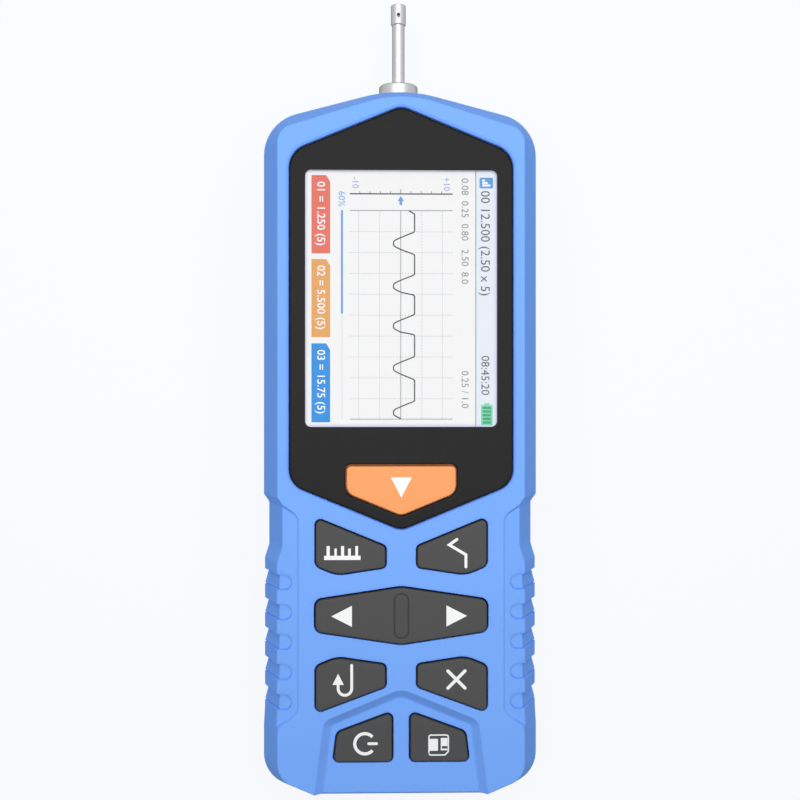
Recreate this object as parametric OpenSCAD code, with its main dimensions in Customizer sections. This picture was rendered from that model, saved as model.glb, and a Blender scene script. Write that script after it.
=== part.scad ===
// Hand-held surface roughness tester: a keypad and colour display in a two-part case,
// with a motor-driven stylus pickup that reaches out of the top end.
// Origin at the centre of the base face, +Y towards the pickup, +Z out of the display.

/* [Case] */
// Overall length of the case
body_l = 164; // [163:1:180]
// Overall width of the case at its parting line
body_w = 63; // [62.5:0.5:76]
// Overall height of the case
case_h = 46; // [45:1:60]
// Height of the front case, from the parting line to the face
front_h = 11; // [10.5:0.25:12]
// How far the side walls lean in over the height of the front case
side_draft = 4; // [3.75:0.05:4.25]
// Thickness of the case walls
wall_t = 2.6; // [2.2:0.1:2.8]
// Thickness of the face plate
face_t = 2; // [1.6:0.1:2.2]
// Thickness of the rear case's floor
floor_t = 2.5; // [2:0.1:3.5]
// Step in from the front case's lower edge to the rear case
rear_inset = 1.2; // [0.4:0.1:1.6]
// How far the rear walls lean in towards the floor
rear_draft = 1.4; // [0.5:0.1:2]
// Radius round the back edge of the rear case
back_r = 6; // [4:0.5:7]
// Slope of the two halves of the crowned top end
crown_angle = 18.6; // [16:0.2:20]
// Radius at the middle of the crowned top end
crown_r = 33; // [25:1:40]
// Radius of the shoulders beside the crown
shoulder_r = 6.5; // [4:0.5:8]
// Width of the straight bottom edge
foot_w = 38.4; // [37:0.2:40]
// Slope of the cut corners beside the bottom edge
foot_angle = 23.3; // [18:0.1:27]
// Radius of the bottom corners
corner_r = 7.5; // [5:0.5:8]

/* [Window and display] */
// Width of the window panel
panel_w = 50; // [49:0.5:51]
// Length of the window panel from point to point
panel_l = 94.6; // [94:0.1:96]
// Distance from the top end of the face to the panel's upper point
panel_margin = 2.2; // [2:0.1:3]
// Thickness of the window panel
panel_t = 1.2; // [1:0.1:1.4]
// How far the panel lies below the face
panel_drop = 1; // [0.6:0.1:1.2]
// Radius of the panel's corners
panel_r = 4.2; // [3:0.2:5]
// Thickness of the shelf that the panel is bonded to
shelf_t = 1; // [0.8:0.1:1.4]
// Slope of the panel's ends, the slanted key edges and the lower step
slant = 22.4; // [21:0.2:24]
// Width of the display's lit area
screen_w = 43.2; // [42:0.2:45]
// Length of the display's lit area
screen_l = 57.6; // [55:0.2:59]
// Distance from the panel's upper point to the middle of the display
screen_drop = 42.7; // [42.4:0.1:43]
// Width of the display module
lcd_w = 50; // [48:0.5:50.5]
// Length of the display module
lcd_l = 66.6; // [65:0.2:67]
// Thickness of the display module
lcd_t = 2.6; // [2.2:0.1:3]
// Height of the tray's floor under the display module
tray_t = 2; // [1.6:0.1:2.4]

/* [Keys] */
// Height of the arrow rocker's middle above the bottom edge of the face
keys_rise = 40.2; // [39.8:0.1:40.6]
// Gap between a key and the edge of its opening
key_gap = 0.4; // [0.35:0.05:0.5]
// How far the keys stand above the surface round them
key_proud = 0.7; // [0.4:0.1:1.2]
// Travel of the keys
key_travel = 0.8; // [0.5:0.1:0.9]
// Width of the start key's opening
start_w = 25.3; // [24:0.1:27]
// Distance from the panel's lower point up to the start key's upper edge
start_h = 15; // [14:0.1:15.2]
// Margin between the panel's lower edges and the start key, measured along the middle
start_margin = 3; // [2.6:0.1:4]
// Width of the arrow rocker's opening
rocker_w = 38.8; // [38:0.2:39.4]
// Height of the arrow rocker's opening at its middle
rocker_h = 13.2; // [12.6:0.2:13.8]
// Slope of the arrow rocker's edges
rocker_angle = 9; // [7:0.2:10]
// Tilt of the arrow rocker to each side
rocker_tilt = 3; // [2:0.2:3.2]
// Gap between the rocker's opening and the keys above and below it
key_row_gap = 4.3; // [4:0.1:4.6]
// Distance from the middle line to the four side keys
side_key_x = 3.2; // [3:0.1:4]
// Width of the four side keys' openings
side_key_w = 16.1; // [15:0.1:16.4]
// Height of the four side keys' openings at their inner edges
side_key_h = 5.2; // [4.6:0.1:5.4]
// Width of the cut corner on the four side keys
side_key_cut = 5; // [4:0.2:6]
// Distance from the middle line to the two lower keys
low_key_x = 1.7; // [1.6:0.1:2.2]
// Width of the two lower keys' openings along their upper edges
low_key_w = 12.9; // [12:0.1:13.2]
// Height of the two lower keys' openings at their inner edges
low_key_h = 11.8; // [11:0.1:12]
// Distance from the bottom edge of the face to the two lower keys
low_key_rise = 6.9; // [6.6:0.1:7.2]
// Depth of the lower step that the two lower keys sit in
step_d = 1.8; // [1.2:0.1:2]
// Half width of the lower step at its upper corners
step_x = 17.1; // [16.8:0.1:17.6]
// Distance from the bottom edge of the face to the lower step's upper point
step_rise = 23.9; // [23.4:0.1:24.2]
// Outward lean of the lower step's sides
step_lean = 7.2; // [5:0.2:8]

/* [Grips] */
// Width of the sloped grip facets on the face
grip_w = 4.9; // [4:0.1:5.2]
// Slope of the grip facets
grip_angle = 11; // [8:0.5:13]
// Depth of the small step along the inner edge of a grip facet
grip_step = 0.25; // [0.1:0.05:0.4]
// Distance from the bottom edge of the face to a grip facet's lower inner corner
grip_rise = 18.6; // [17:0.2:20]
// Length of a grip facet along its inner edge
grip_l = 44; // [42:0.5:46]
// Slope of the ends of a grip facet
grip_end_angle = 34; // [28:1:40]
// Depth of the thumb waist in the side walls
waist_d = 1.3; // [0.8:0.1:1.4]
// Length of the thumb waist at its full depth
waist_l = 9; // [8:0.5:10]
// Distance from the upper end of a grip facet down to the waist's full depth
waist_drop = -2.1; // [-3:0.1:-1]
// Number of finger notches on each side
notch_count = 5; // [3:1:5]
// Spacing of the finger notches
notch_pitch = 6.67; // [6:0.1:6.8]
// Height of a finger notch
notch_h = 3.3; // [2.8:0.1:3.6]
// Middle depth of a finger notch in the side wall
notch_d = 0.55; // [0.4:0.05:0.7]
// Depth of a finger notch below the grip facet
notch_face_d = 0.5; // [0.3:0.05:0.6]
// Lean of a finger notch's floor, deeper at its upper end
notch_lean = 13.5; // [8:0.5:15]

/* [Electronics] */
// Thickness of the main board
board_t = 1.6; // [1.2:0.1:1.8]
// Height of the key switches
switch_h = 1.2; // [0.8:0.1:1.3]
// Diameter of the key switches
switch_d = 5; // [4:0.2:5.6]
// Thickness of the keypad mat
mat_t = 1; // [0.6:0.1:1.2]
// Width of the charging socket's shell
usb_w = 9; // [8.6:0.1:9.2]
// Height of the charging socket's shell
usb_h = 3.2; // [3:0.1:3.4]
// Length of the charging socket's shell
usb_l = 7.3; // [6.8:0.1:8]
// Width of the battery pack
battery_w = 34; // [28:0.5:35]
// Length of the battery pack
battery_l = 50; // [40:1:56]
// Height of the battery pack
battery_h = 12; // [8:0.5:18]
// Shaft diameter of the case screws
case_screw_d = 2.5; // [2:0.1:3]
// Length of the case screws' shafts
case_screw_l = 14; // [12:0.5:15]
// Shaft diameter of the board and drive screws
board_screw_d = 2; // [1.6:0.1:2.2]

/* [Drive] */
// Travel of the pickup
traverse = 17.5; // [10:0.5:17.5]
// Thickness of the drive frame's base plate
plate_t = 2; // [1.6:0.1:3]
// Width of the drive frame
drive_w = 28; // [27:0.5:28.4]
// Thickness of the drive frame's bulkheads
bulkhead_t = 3; // [2.5:0.1:3.5]
// Diameter of the guide rods
rod_d = 3; // [2.5:0.1:3.2]
// Distance between the guide rods
rod_span = 19; // [18.5:0.1:19.6]
// Outer diameter of the bushes on the guide rods
bush_d = 5; // [4.5:0.1:5.2]
// Length of the carriage
carriage_l = 26; // [25.5:0.5:28]
// Diameter of the lead screw
screw_d = 4; // [3.6:0.1:4.6]
// Diameter of the lead screw's journals and of the motor shaft
journal_d = 3; // [2.5:0.1:3.2]
// Height of the lead screw above the pickup's axis
screw_rise = 11; // [10.8:0.1:12]
// Outer diameter of the drive nut's barrel
nut_d = 8; // [7:0.1:8.4]
// Diameter of the gear motor
motor_d = 12; // [10:0.5:12.5]
// Length of the motor can
motor_l = 15; // [12:1:22]
// Length of the gearbox
gearbox_l = 9; // [7:0.5:12]

/* [Pickup] */
// Diameter of the pickup's body
pickup_d = 9.6; // [9.2:0.1:10]
// Reach of the pickup's body past the end of the case
pickup_reach = 6.4; // [5:0.2:10]
// Depth of the pickup's body in the carriage
pickup_grip = 12; // [10:0.5:14]
// Diameter of the stylus tube
tube_d = 3.1; // [2.9:0.1:3.3]
// Length of the stylus tube between the pickup's body and the skid head
tube_l = 15.2; // [12:0.2:20]
// Wall thickness of the stylus tube
tube_wall = 0.4; // [0.3:0.05:0.45]
// Diameter of the skid head
head_d = 3.7; // [3.5:0.1:4.2]
// Length of the skid head
head_l = 5; // [4.6:0.1:6]
// How far the skid button stands below the skid head
skid_drop = 0.35; // [0.2:0.05:0.5]
// How far the stylus tip reaches below the skid button
stylus_drop = 0.2; // [0.1:0.05:0.3]
// Diameter of the stylus arm
arm_d = 0.8; // [0.6:0.05:0.9]

/* [Hidden] */
$fn = 48;

// Small amounts that make cuts and joins clean
over = 1;
lap = 0.2;
// Clearance round pins, screws and shafts, and round parts that slide or drop in
slip = 0.05;
fit = 0.15;
// Facets in each rounded corner of an outline
corner_steps = 8;

// Levels of the front stack, from the face down to the main board
parting_z = case_h - front_h;
face_under_z = case_h - face_t;
panel_top_z = case_h - panel_drop;
panel_z = panel_top_z - panel_t;
shelf_z = panel_z - shelf_t;
lcd_z = shelf_z - lcd_t;
board_top_z = lcd_z - tray_t;
board_z = board_top_z - board_t;
step_z = case_h - step_d;
step_under_z = step_z - face_t;
switch_top_z = board_top_z + switch_h;
plunger_z = switch_top_z + key_travel + 0.1;

// Outline of the face
draft_rate = side_draft / front_h;
draft_angle = atan(draft_rate);
face_w = body_w - 2 * side_draft;
face_end = body_l / 2 - side_draft;
foot_r = 1.5;
crown_y = face_end + crown_r * (1 / cos(crown_angle) - 1);
shoulder_y = crown_y - face_w / 2 * tan(crown_angle);
corner_y = -face_end + (face_w - foot_w) / 2 * tan(foot_angle);
face_points = both_sides([[foot_w / 2, -face_end], [face_w / 2, corner_y],
    [face_w / 2, shoulder_y]], [[0, crown_y]]);
face_radii = [foot_r, corner_r, shoulder_r, crown_r, shoulder_r, corner_r, foot_r];

// Outline of the window panel
panel_y = face_end - panel_margin;
panel_low_y = panel_y - panel_l;
panel_rise = panel_w / 2 * tan(slant);
panel_points = both_sides([[panel_w / 2, panel_low_y + panel_rise],
    [panel_w / 2, panel_y - panel_rise]], [[0, panel_y]], [[0, panel_low_y]]);
panel_radii = [panel_r, panel_r, panel_r, panel_r, panel_r, panel_r];
shelf_margin = 1.5;
screen_y = panel_y - screen_drop;
screen_margin = 0.5;
lcd_offset = 2.2;
lcd_y = screen_y - lcd_offset;

// Outlines of the key openings
keys_y = -face_end + keys_rise;
key_r = 1.4;
key_point_r = 3;
flange_lip = 0.5;
flange_t = 1;
flange_gap = 0.1;
plunger_d = 3;
start_low_y = panel_low_y + start_margin;
start_side_y = start_low_y + start_w / 2 * tan(slant);
start_points = both_sides([[start_w / 2, start_side_y], [start_w / 2, panel_low_y + start_h]], [],
    [[0, start_low_y]]);
start_radii = [key_r, key_r, key_r, key_r, key_point_r];
start_plunger_drop = 4.5;
start_middle = [0, panel_low_y + start_h - start_plunger_drop];

rocker_top = rocker_h / 2;
rocker_side = rocker_top - rocker_w / 2 * tan(rocker_angle);
rocker_points = [for (p = both_sides([[rocker_w / 2, -rocker_side], [rocker_w / 2, rocker_side]],
    [[0, rocker_top]], [[0, -rocker_top]])) p + [0, keys_y]];
rocker_radii = [2, 2, 8, 2, 2, 8];
rocker_press_inset = 6.9;
rocker_press_x = rocker_w / 2 - rocker_press_inset;

side_key_low = function(x) keys_y + rocker_top - x * tan(rocker_angle) + key_row_gap;
side_key_out = side_key_x + side_key_w;
side_key_top = side_key_low(side_key_x) + side_key_h;
side_cut_x = side_key_out - side_key_cut;
side_key_points = [[side_key_x, side_key_low(side_key_x)], [side_cut_x, side_key_low(side_cut_x)],
    [side_key_out, side_key_low(side_cut_x) + side_key_cut * tan(slant)],
    [side_key_out, side_key_top + side_key_w * tan(slant)], [side_key_x, side_key_top]];
side_key_radii = [key_r, key_point_r, 2, key_r, key_r];
side_key_middle = [(side_key_x + side_key_out) / 2,
    (side_key_low(side_cut_x) + side_key_top + side_key_w / 2 * tan(slant)) / 2];

low_key_y = -face_end + low_key_rise;
low_key_out = low_key_x + low_key_w;
low_key_side = low_key_y + low_key_h - low_key_w * tan(slant);
low_key_points = [[low_key_x, low_key_y],
    [low_key_out + (low_key_side - low_key_y) * tan(step_lean), low_key_y],
    [low_key_out, low_key_side], [low_key_x, low_key_y + low_key_h]];
low_key_radii = [key_r, key_r, 2, key_r];
low_key_middle = [low_key_x + low_key_w / 2, low_key_y + low_key_side / 2 - low_key_y / 2];

// Outline of the lower step at the level of the face, run out past the bottom end
step_y = -face_end + step_rise;
step_side_y = step_y - step_x * tan(slant);
step_end_y = -body_l / 2 - 2;
step_points = both_sides([[step_x + (step_side_y - step_end_y) * tan(step_lean), step_end_y],
    [step_x, step_side_y]], [[0, step_y]]);
step_radii = [0.5, 3, 5, 3, 0.5];
step_slope = 1;
step_lip = 0.6;

// Grip facets, waist and finger notches, on the +X side
grip_x = face_w / 2 - grip_w;
grip_low_y = -face_end + grip_rise;
grip_top_y = grip_low_y + grip_l;
grip_out = body_w / 2 - grip_x + over;
grip_points = [[grip_x, grip_low_y], [grip_x + grip_out, grip_low_y - grip_out * tan(grip_end_angle)],
    [grip_x + grip_out, grip_top_y + grip_out * tan(grip_end_angle)], [grip_x, grip_top_y]];
grip_radii = [3, 0.5, 0.5, 3];
waist_top_y = grip_top_y - waist_drop;
waist_low_ramp = 3.6;
waist_top_ramp = 2.4;
waist_points = [[-waist_d, waist_top_y - waist_l],
    [over, waist_top_y - waist_l - waist_low_ramp * (1 + over / waist_d)],
    [over, waist_top_y + waist_top_ramp * (1 + over / waist_d)], [-waist_d, waist_top_y]];
notch_inset = 2.5;
notch_low_y = grip_low_y + notch_inset;
notch_reach = 3.1;

// Bosses and screws
case_boss_d = 5.6;
well_d = 5.4;
well_boss_d = 8;
case_head_d = 5;
case_head_t = 2;
case_bite = 5;
case_head_z = parting_z - case_screw_l + case_bite;
top_screw_inset = [8.5, 2.96];
low_screw_inset = [5.5, 7.4];
case_screw_points = [for (s = [-1, 1])
    each [[s * (face_w / 2 - top_screw_inset.x), shoulder_y - top_screw_inset.y],
    [s * (face_w / 2 - low_screw_inset.x), corner_y + low_screw_inset.y]]];
board_boss_d = 4.8;
board_head_d = 3.8;
board_head_t = 1.2;
board_bite = 3.6;
board_screw_l = board_t + board_bite;
board_boss_inset = 3.5;
board_boss_x = face_w / 2 - board_boss_inset;
end_boss_drop = 7.3;
upper_boss_rise = 4.6;
lower_boss_rise = 3.4;
board_screw_points = concat([[0, panel_y - end_boss_drop]], [for (s = [-1, 1])
    each [[s * board_boss_x, grip_top_y + upper_boss_rise],
    [s * board_boss_x, grip_low_y + lower_boss_rise]]]);
board_margin = 2;
board_w = face_w - 2 * board_margin;
usb_z = board_top_z + usb_h / 2;
usb_wall = 0.3;
usb_set_in = 0.6;
usb_end_y = -face_end - (case_h - usb_z) * draft_rate + usb_set_in;

// Levels and places of the drive
pad_h = 2;
plate_z = floor_t + pad_h;
plate_top_z = plate_z + plate_t;
carriage_gap = 0.8;
carriage_z = plate_top_z + carriage_gap;
pickup_floor_t = 1.9;
pickup_z = carriage_z + pickup_floor_t + pickup_d / 2;
screw_z = pickup_z + screw_rise;
bulkhead_top_z = screw_z + motor_d / 2;
bulkhead_setback = 9;
front_bulkhead_y = body_l / 2 - bulkhead_setback - bulkhead_t;
switch_block_t = 3;
switch_block_w = 6;
switch_block_h = 5;
front_end_gap = 1;
rear_end_gap = 0.5;
carriage_y = front_bulkhead_y - switch_block_t - front_end_gap - carriage_l;
carriage_side_gap = 1;
carriage_w = drive_w - 2 * carriage_side_gap;
carriage_roof_t = 1.5;
carriage_top_z = screw_z + nut_d / 2 + carriage_roof_t;
nut_flange_t = 2;
nut_flange_lip = 1.5;
nut_flange_d = nut_d + 2 * nut_flange_lip;
nut_l = 14;
rear_bulkhead_y = carriage_y - traverse - switch_block_t - rear_end_gap - bulkhead_t;
coupling_l = 8;
coupling_d = 8;
coupling_gap = 1.5;
motor_bulkhead_y = rear_bulkhead_y - coupling_l - bulkhead_t - 2 * coupling_gap;
coupling_y = motor_bulkhead_y + bulkhead_t + coupling_gap;
shaft_joint_y = coupling_y + coupling_l / 2;
bearing_d = 7;
motor_screw_d = 1.6;
motor_screw_span = 9;
motor_screw_bite = 2.8;
motor_head_d = 2.8;
motor_head_t = 1;
shaft_bite = 2;
ear_out = 3;
ear_x = drive_w / 2 + ear_out;
ear_d = 6;
rear_ear_setback = 2;
front_ear_reach = 16;
drive_screw_points = [for (s = [-1, 1])
    each [[s * ear_x, rear_bulkhead_y - rear_ear_setback], [s * ear_x, carriage_y + front_ear_reach]]];
drive_bite = 3.5;
drive_screw_l = plate_t + drive_bite;

// Places along the pickup
pickup_y = carriage_y + carriage_l - pickup_grip;
pickup_end_y = body_l / 2 + pickup_reach;
pickup_wall = 1.5;
pickup_nose_t = 2.4;
pickup_bore_d = pickup_d - 2 * pickup_wall;
head_y = pickup_end_y + tube_l;
tube_lap = 1;
tube_end_y = head_y + tube_lap;
head_nose_t = 0.8;
tip_setback = 0.8;
tip_y = head_y + head_l - head_nose_t - tip_setback;
skid_d = 1.1;
skid_y = tube_end_y + skid_d / 2 + 2 * slip;
pin_d = 0.8;
pivot_setback = 10.4;
pivot_y = pickup_end_y - pivot_setback;
armature_inset = 6;
armature_y = pickup_y + armature_inset;
armature_l = 8;
armature_w = 3;
armature_t = 0.8;
coil_d = 4;
coil_t = 1.6;
coil_gap = 0.5;
plug_l = 4;
socket_l = 10;
socket_d = 8;
contact_d = 0.6;
contact_ring_d = 4;
contact_count = 5;

battery_rise = 5;
battery_y = -face_end + battery_rise;
rib_t = 1.5;
rib_h = 5;

blue = "cornflowerblue";
dark = "#4b4c4e";

function unit(v) = v / norm(v);

// An outline mirrored about X = 0, anticlockwise: the right side upwards, an upper middle
// point, the left side downwards and a lower middle point
function both_sides(right, upper, lower = []) =
    concat(right, upper, [for (i = [len(right) - 1:-1:0]) [-right[i].x, right[i].y]], lower);

function mirrored(points) = [for (i = [len(points) - 1:-1:0]) [-points[i].x, points[i].y]];

function backwards(list) = [for (i = [len(list) - 1:-1:0]) list[i]];

// The same outline turned over about the rocker's middle line
function turned_over(points) =
    [for (i = [len(points) - 1:-1:0]) [points[i].x, 2 * keys_y - points[i].y]];

// Points of the arc of radius r that rounds the corner b between a and c
function corner_arc(a, b, c, r) =
    let (u = unit(a - b), v = unit(c - b), half = acos(u * v) / 2, reach = r / tan(half))
    let (centre = b + unit(u + v) * r / sin(half), from = b + u * reach - centre)
    let (to = b + v * reach - centre, start = atan2(from.y, from.x))
    let (turn = (atan2(to.y, to.x) - start + 540) % 360 - 180)
    [for (i = [0:corner_steps])
        let (angle = start + turn * i / corner_steps) centre + r * [cos(angle), sin(angle)]];

// An outline with its corners rounded to the given radii
function rounded(points, radii) =
    let (n = len(points))
    [for (i = [0:n - 1])
        each corner_arc(points[(i + n - 1) % n], points[i], points[(i + 1) % n], max(radii[i], 0.2))];

// An anticlockwise outline with each edge moved outwards by d
function grown(points, d) =
    let (n = len(points))
    [for (i = [0:n - 1])
        let (before = unit(points[i] - points[(i + n - 1) % n]))
        let (after = unit(points[(i + 1) % n] - points[i]))
        let (m = [before.y, -before.x], k = [after.y, -after.x])
        points[i] + (m + k) * d / (1 + m * k)];

function rounded_grown(points, radii, d) = rounded(grown(points, d), [for (r = radii) r + d]);

// Outline of the case, moved outwards from the face's outline by d
function case_outline(d) = rounded_grown(face_points, face_radii, d);

// Outward move of the front case's wall at height z
function front_wall(z) = (case_h - z) * draft_rate;

// Outward move of the rear case's wall at height z, above the rounded back edge
function rear_wall(z) = side_draft - rear_inset - rear_draft * (parting_z - z) / (parting_z - back_r);

// A solid through outlines with equal numbers of points, each at its own height
module loft(layers) {
    n = len(layers[0][1]);
    last = len(layers) - 1;
    points = [for (layer = layers) for (p = layer[1]) [p.x, p.y, layer[0]]];
    sides = [for (k = [0:last - 1]) for (i = [0:n - 1])
        let (j = (i + 1) % n) [k * n + i, (k + 1) * n + i, (k + 1) * n + j, k * n + j]];
    bottom = [for (i = [0:n - 1]) i];
    top = [for (i = [n - 1:-1:0]) last * n + i];
    polyhedron(points, concat([bottom, top], sides));
}

// A plate of the given outline between two heights
module slab(points, from_z, to_z) {
    translate([0, 0, from_z]) linear_extrude(to_z - from_z) polygon(points);
}

// A box between two corners
module box(low, high) {
    translate(low) cube(high - low);
}

// A round bar along Y
module bar(x, z, d, from_y, to_y) {
    translate([x, from_y, z]) rotate([-90, 0, 0]) cylinder(d = d, h = to_y - from_y);
}

// A round bar along Z
module post(at, d, from_z, to_z) {
    translate([at.x, at.y, from_z]) cylinder(d = d, h = to_z - from_z);
}

// Both sides of the case
module both() {
    children();
    mirror([1, 0, 0]) children();
}

module front_shell() {
    loft([[parting_z, case_outline(front_wall(parting_z))], [case_h, case_outline(0)]]);
}

module front_hollow() {
    low = parting_z - over;
    loft([[low, case_outline(front_wall(low) - wall_t)],
        [face_under_z, case_outline(front_wall(face_under_z) - wall_t)]]);
}

// The cut that makes a grip facet: everything above a plane that slopes down towards the side
module grip_cut() {
    intersection() {
        slab(rounded(grip_points, grip_radii), parting_z, case_h + over);
        translate([grip_x, 0, case_h - grip_step]) rotate([0, grip_angle, 0])
            translate([-over, -body_l / 2, 0]) cube([body_w / 2, body_l, face_t + over]);
    }
}

// A shallow cut with an outline along the drafted side wall
module waist_cut() {
    translate([face_w / 2, 0, case_h]) rotate([0, -draft_angle, 0])
        translate([0, 0, -2 * front_h]) linear_extrude(3 * front_h) polygon(waist_points);
}

// A finger notch that wraps from the grip facet down the side wall
module notch_cut(y) {
    intersection() {
        hollow_x = face_w / 2 - notch_reach;
        union() {
            translate([hollow_x + notch_h / 2, y, parting_z - over])
                cylinder(d = notch_h, h = front_h + 2 * over);
            box([hollow_x + notch_h / 2, y - notch_h / 2, parting_z - over],
                [body_w / 2 + over, y + notch_h / 2, case_h + over]);
        }
        union() {
            translate([grip_x, 0, case_h - grip_step - notch_face_d]) rotate([0, grip_angle, 0])
                translate([0, -body_l / 2, 0]) cube([body_w / 2, body_l, face_t + over]);
            translate([face_w / 2 - notch_d, y, case_h]) rotate([0, 0, notch_lean])
                rotate([0, -draft_angle, 0]) translate([0, -notch_h, -2 * front_h])
                cube([wall_t + side_draft, 2 * notch_h, 3 * front_h]);
        }
    }
}

// The sunk area round the two lower keys, with sloping walls
module step_cut() {
    loft([[step_z, rounded_grown(step_points, step_radii, -step_d * step_slope)],
        [case_h + over, rounded_grown(step_points, step_radii, over * step_slope)]]);
}

// The shelf under the lower step keeps the face plate's thickness there
module step_shelf() {
    intersection() {
        slab(rounded_grown(step_points, step_radii, step_lip), step_under_z, face_under_z + lap);
        front_shell();
    }
}

// Sideways through hole for the charging socket in the bottom end
module socket_hole() {
    translate([0, -body_l / 2 - over, usb_z]) rotate([-90, 0, 0])
        linear_extrude(side_draft + wall_t + 2 * over) stadium(usb_w + 2 * fit, usb_h + 2 * fit);
}

module stadium(w, h) {
    square([w - h, h], center = true);
    for (s = [-1, 1])
        translate([s * (w - h) / 2, 0]) circle(d = h);
}

rocker_axis_z = face_under_z - 1.4;
rocker_pin_d = 1.6;
ear_t = 1.6;
ear_w = 3.2;
ear_gap = 0.3;

// The ears under the face plate that carry the rocker's pins
module rocker_ears() {
    for (s = [-1, 1]) {
        from_y = keys_y + s * (rocker_top + ear_gap + ear_t / 2) - ear_t / 2;
        box([-ear_w / 2, from_y, rocker_axis_z - rocker_pin_d / 2 - 0.7],
            [ear_w / 2, from_y + ear_t, face_under_z + lap]);
    }
}

module front_case() {
    color(blue) difference() {
        union() {
            difference() {
                front_shell();
                front_hollow();
            }
            slab(rounded_grown(panel_points, panel_radii, shelf_margin), shelf_z, face_under_z + lap);
            step_shelf();
            rocker_ears();
            for (p = case_screw_points)
                post(p, case_boss_d, parting_z, face_under_z + lap);
            for (p = board_screw_points)
                post(p, board_boss_d, board_top_z, face_under_z + lap);
        }
        slab(rounded(panel_points, panel_radii), panel_z, case_h + over);
        box([-screen_w / 2 - screen_margin, screen_y - screen_l / 2 - screen_margin, shelf_z - over],
            [screen_w / 2 + screen_margin, screen_y + screen_l / 2 + screen_margin, case_h]);
        slab(rounded(start_points, start_radii), shelf_z - over, case_h);
        slab(rounded(rocker_points, rocker_radii), face_under_z - over, case_h + over);
        both() {
            slab(rounded(side_key_points, side_key_radii), face_under_z - over, case_h + over);
            slab(rounded(turned_over(side_key_points), backwards(side_key_radii)),
                face_under_z - over, case_h + over);
            slab(rounded(low_key_points, low_key_radii), step_under_z - over, case_h + over);
            grip_cut();
            waist_cut();
            for (i = [0:notch_count - 1])
                notch_cut(notch_low_y + i * notch_pitch);
        }
        step_cut();
        socket_hole();
        bar(0, rocker_axis_z, rocker_pin_d + 2 * slip, keys_y - rocker_top - ear_gap - ear_t - lap,
            keys_y + rocker_top + ear_gap + ear_t + lap);
        for (p = case_screw_points)
            post(p, case_screw_d + 2 * slip, parting_z - over, case_head_z + case_screw_l + 0.5);
        for (p = board_screw_points)
            post(p, board_screw_d + 2 * slip, board_top_z - over, board_z + board_screw_l + 0.5);
    }
}

module rear_shell() {
    edge = [for (a = [0:22.5:90]) [back_r * (1 - sin(a)), rear_wall(back_r) - back_r * (1 - cos(a))]];
    loft(concat([for (e = backwards(edge)) [e[0], case_outline(e[1])]],
        [[parting_z, case_outline(rear_wall(parting_z))]]));
}

module rear_hollow() {
    inner_r = back_r - wall_t;
    edge = [for (a = [0:30:90])
        [floor_t + inner_r * (1 - sin(a)), rear_wall(back_r) - wall_t - inner_r * (1 - cos(a))]];
    loft(concat([for (e = backwards(edge)) [e[0], case_outline(e[1])]],
        [[parting_z + over, case_outline(rear_wall(parting_z + over) - wall_t)]]));
}

module rear_case() {
    color(blue) difference() {
        union() {
            difference() {
                rear_shell();
                rear_hollow();
            }
            for (p = case_screw_points)
                post(p, well_boss_d, floor_t - lap, parting_z);
            for (p = drive_screw_points)
                post(p, ear_d, floor_t - lap, plate_z);
            battery_ribs();
        }
        bar(0, pickup_z, pickup_d + 1, pickup_y + pickup_grip, body_l / 2 + over);
        for (p = case_screw_points) {
            post(p, well_d, -over, case_head_z);
            post(p, case_screw_d + 2 * slip, case_head_z - lap, parting_z + over);
        }
        for (p = drive_screw_points)
            post(p, board_screw_d + 2 * slip, plate_top_z - drive_screw_l - 0.2, plate_z + over);
    }
}

// Low ribs on the floor that keep the battery pack in place
module battery_ribs() {
    low_z = floor_t - lap;
    inner = battery_w / 2 + fit;
    for (s = [-1, 1])
        box([s * (inner + rib_t / 2) - rib_t / 2, battery_y + 10, low_z],
            [s * (inner + rib_t / 2) + rib_t / 2, battery_y + battery_l - 10, floor_t + rib_h]);
    for (y = [battery_y - fit - rib_t, battery_y + battery_l + fit])
        box([-8, y, low_z], [8, y + rib_t, floor_t + rib_h]);
}

module window_panel() {
    color("#333435") difference() {
        slab(rounded_grown(panel_points, panel_radii, -fit), panel_z, panel_top_z);
        slab(rounded(start_points, start_radii), panel_z - over, panel_top_z + over);
    }
}

module lcd_module() {
    color("aliceblue")
        box([-lcd_w / 2, lcd_y - lcd_l / 2, lcd_z], [lcd_w / 2, lcd_y + lcd_l / 2, shelf_z]);
}

// The frame that holds the display module against the shelf
module lcd_tray() {
    inner_w = lcd_w / 2 + fit;
    inner_l = lcd_l / 2 + fit;
    tray_wall = 0.8;
    ledge = 3;
    color("dimgray") difference() {
        box([-inner_w - tray_wall, lcd_y - inner_l, board_top_z],
            [inner_w + tray_wall, lcd_y + inner_l, lcd_z + lcd_t / 2]);
        box([-inner_w, lcd_y - inner_l - over, lcd_z], [inner_w, lcd_y + inner_l + over, shelf_z]);
        box([-inner_w + ledge, lcd_y - inner_l + ledge, board_top_z - over],
            [inner_w - ledge, lcd_y + inner_l - ledge, lcd_z + over]);
    }
}

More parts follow.
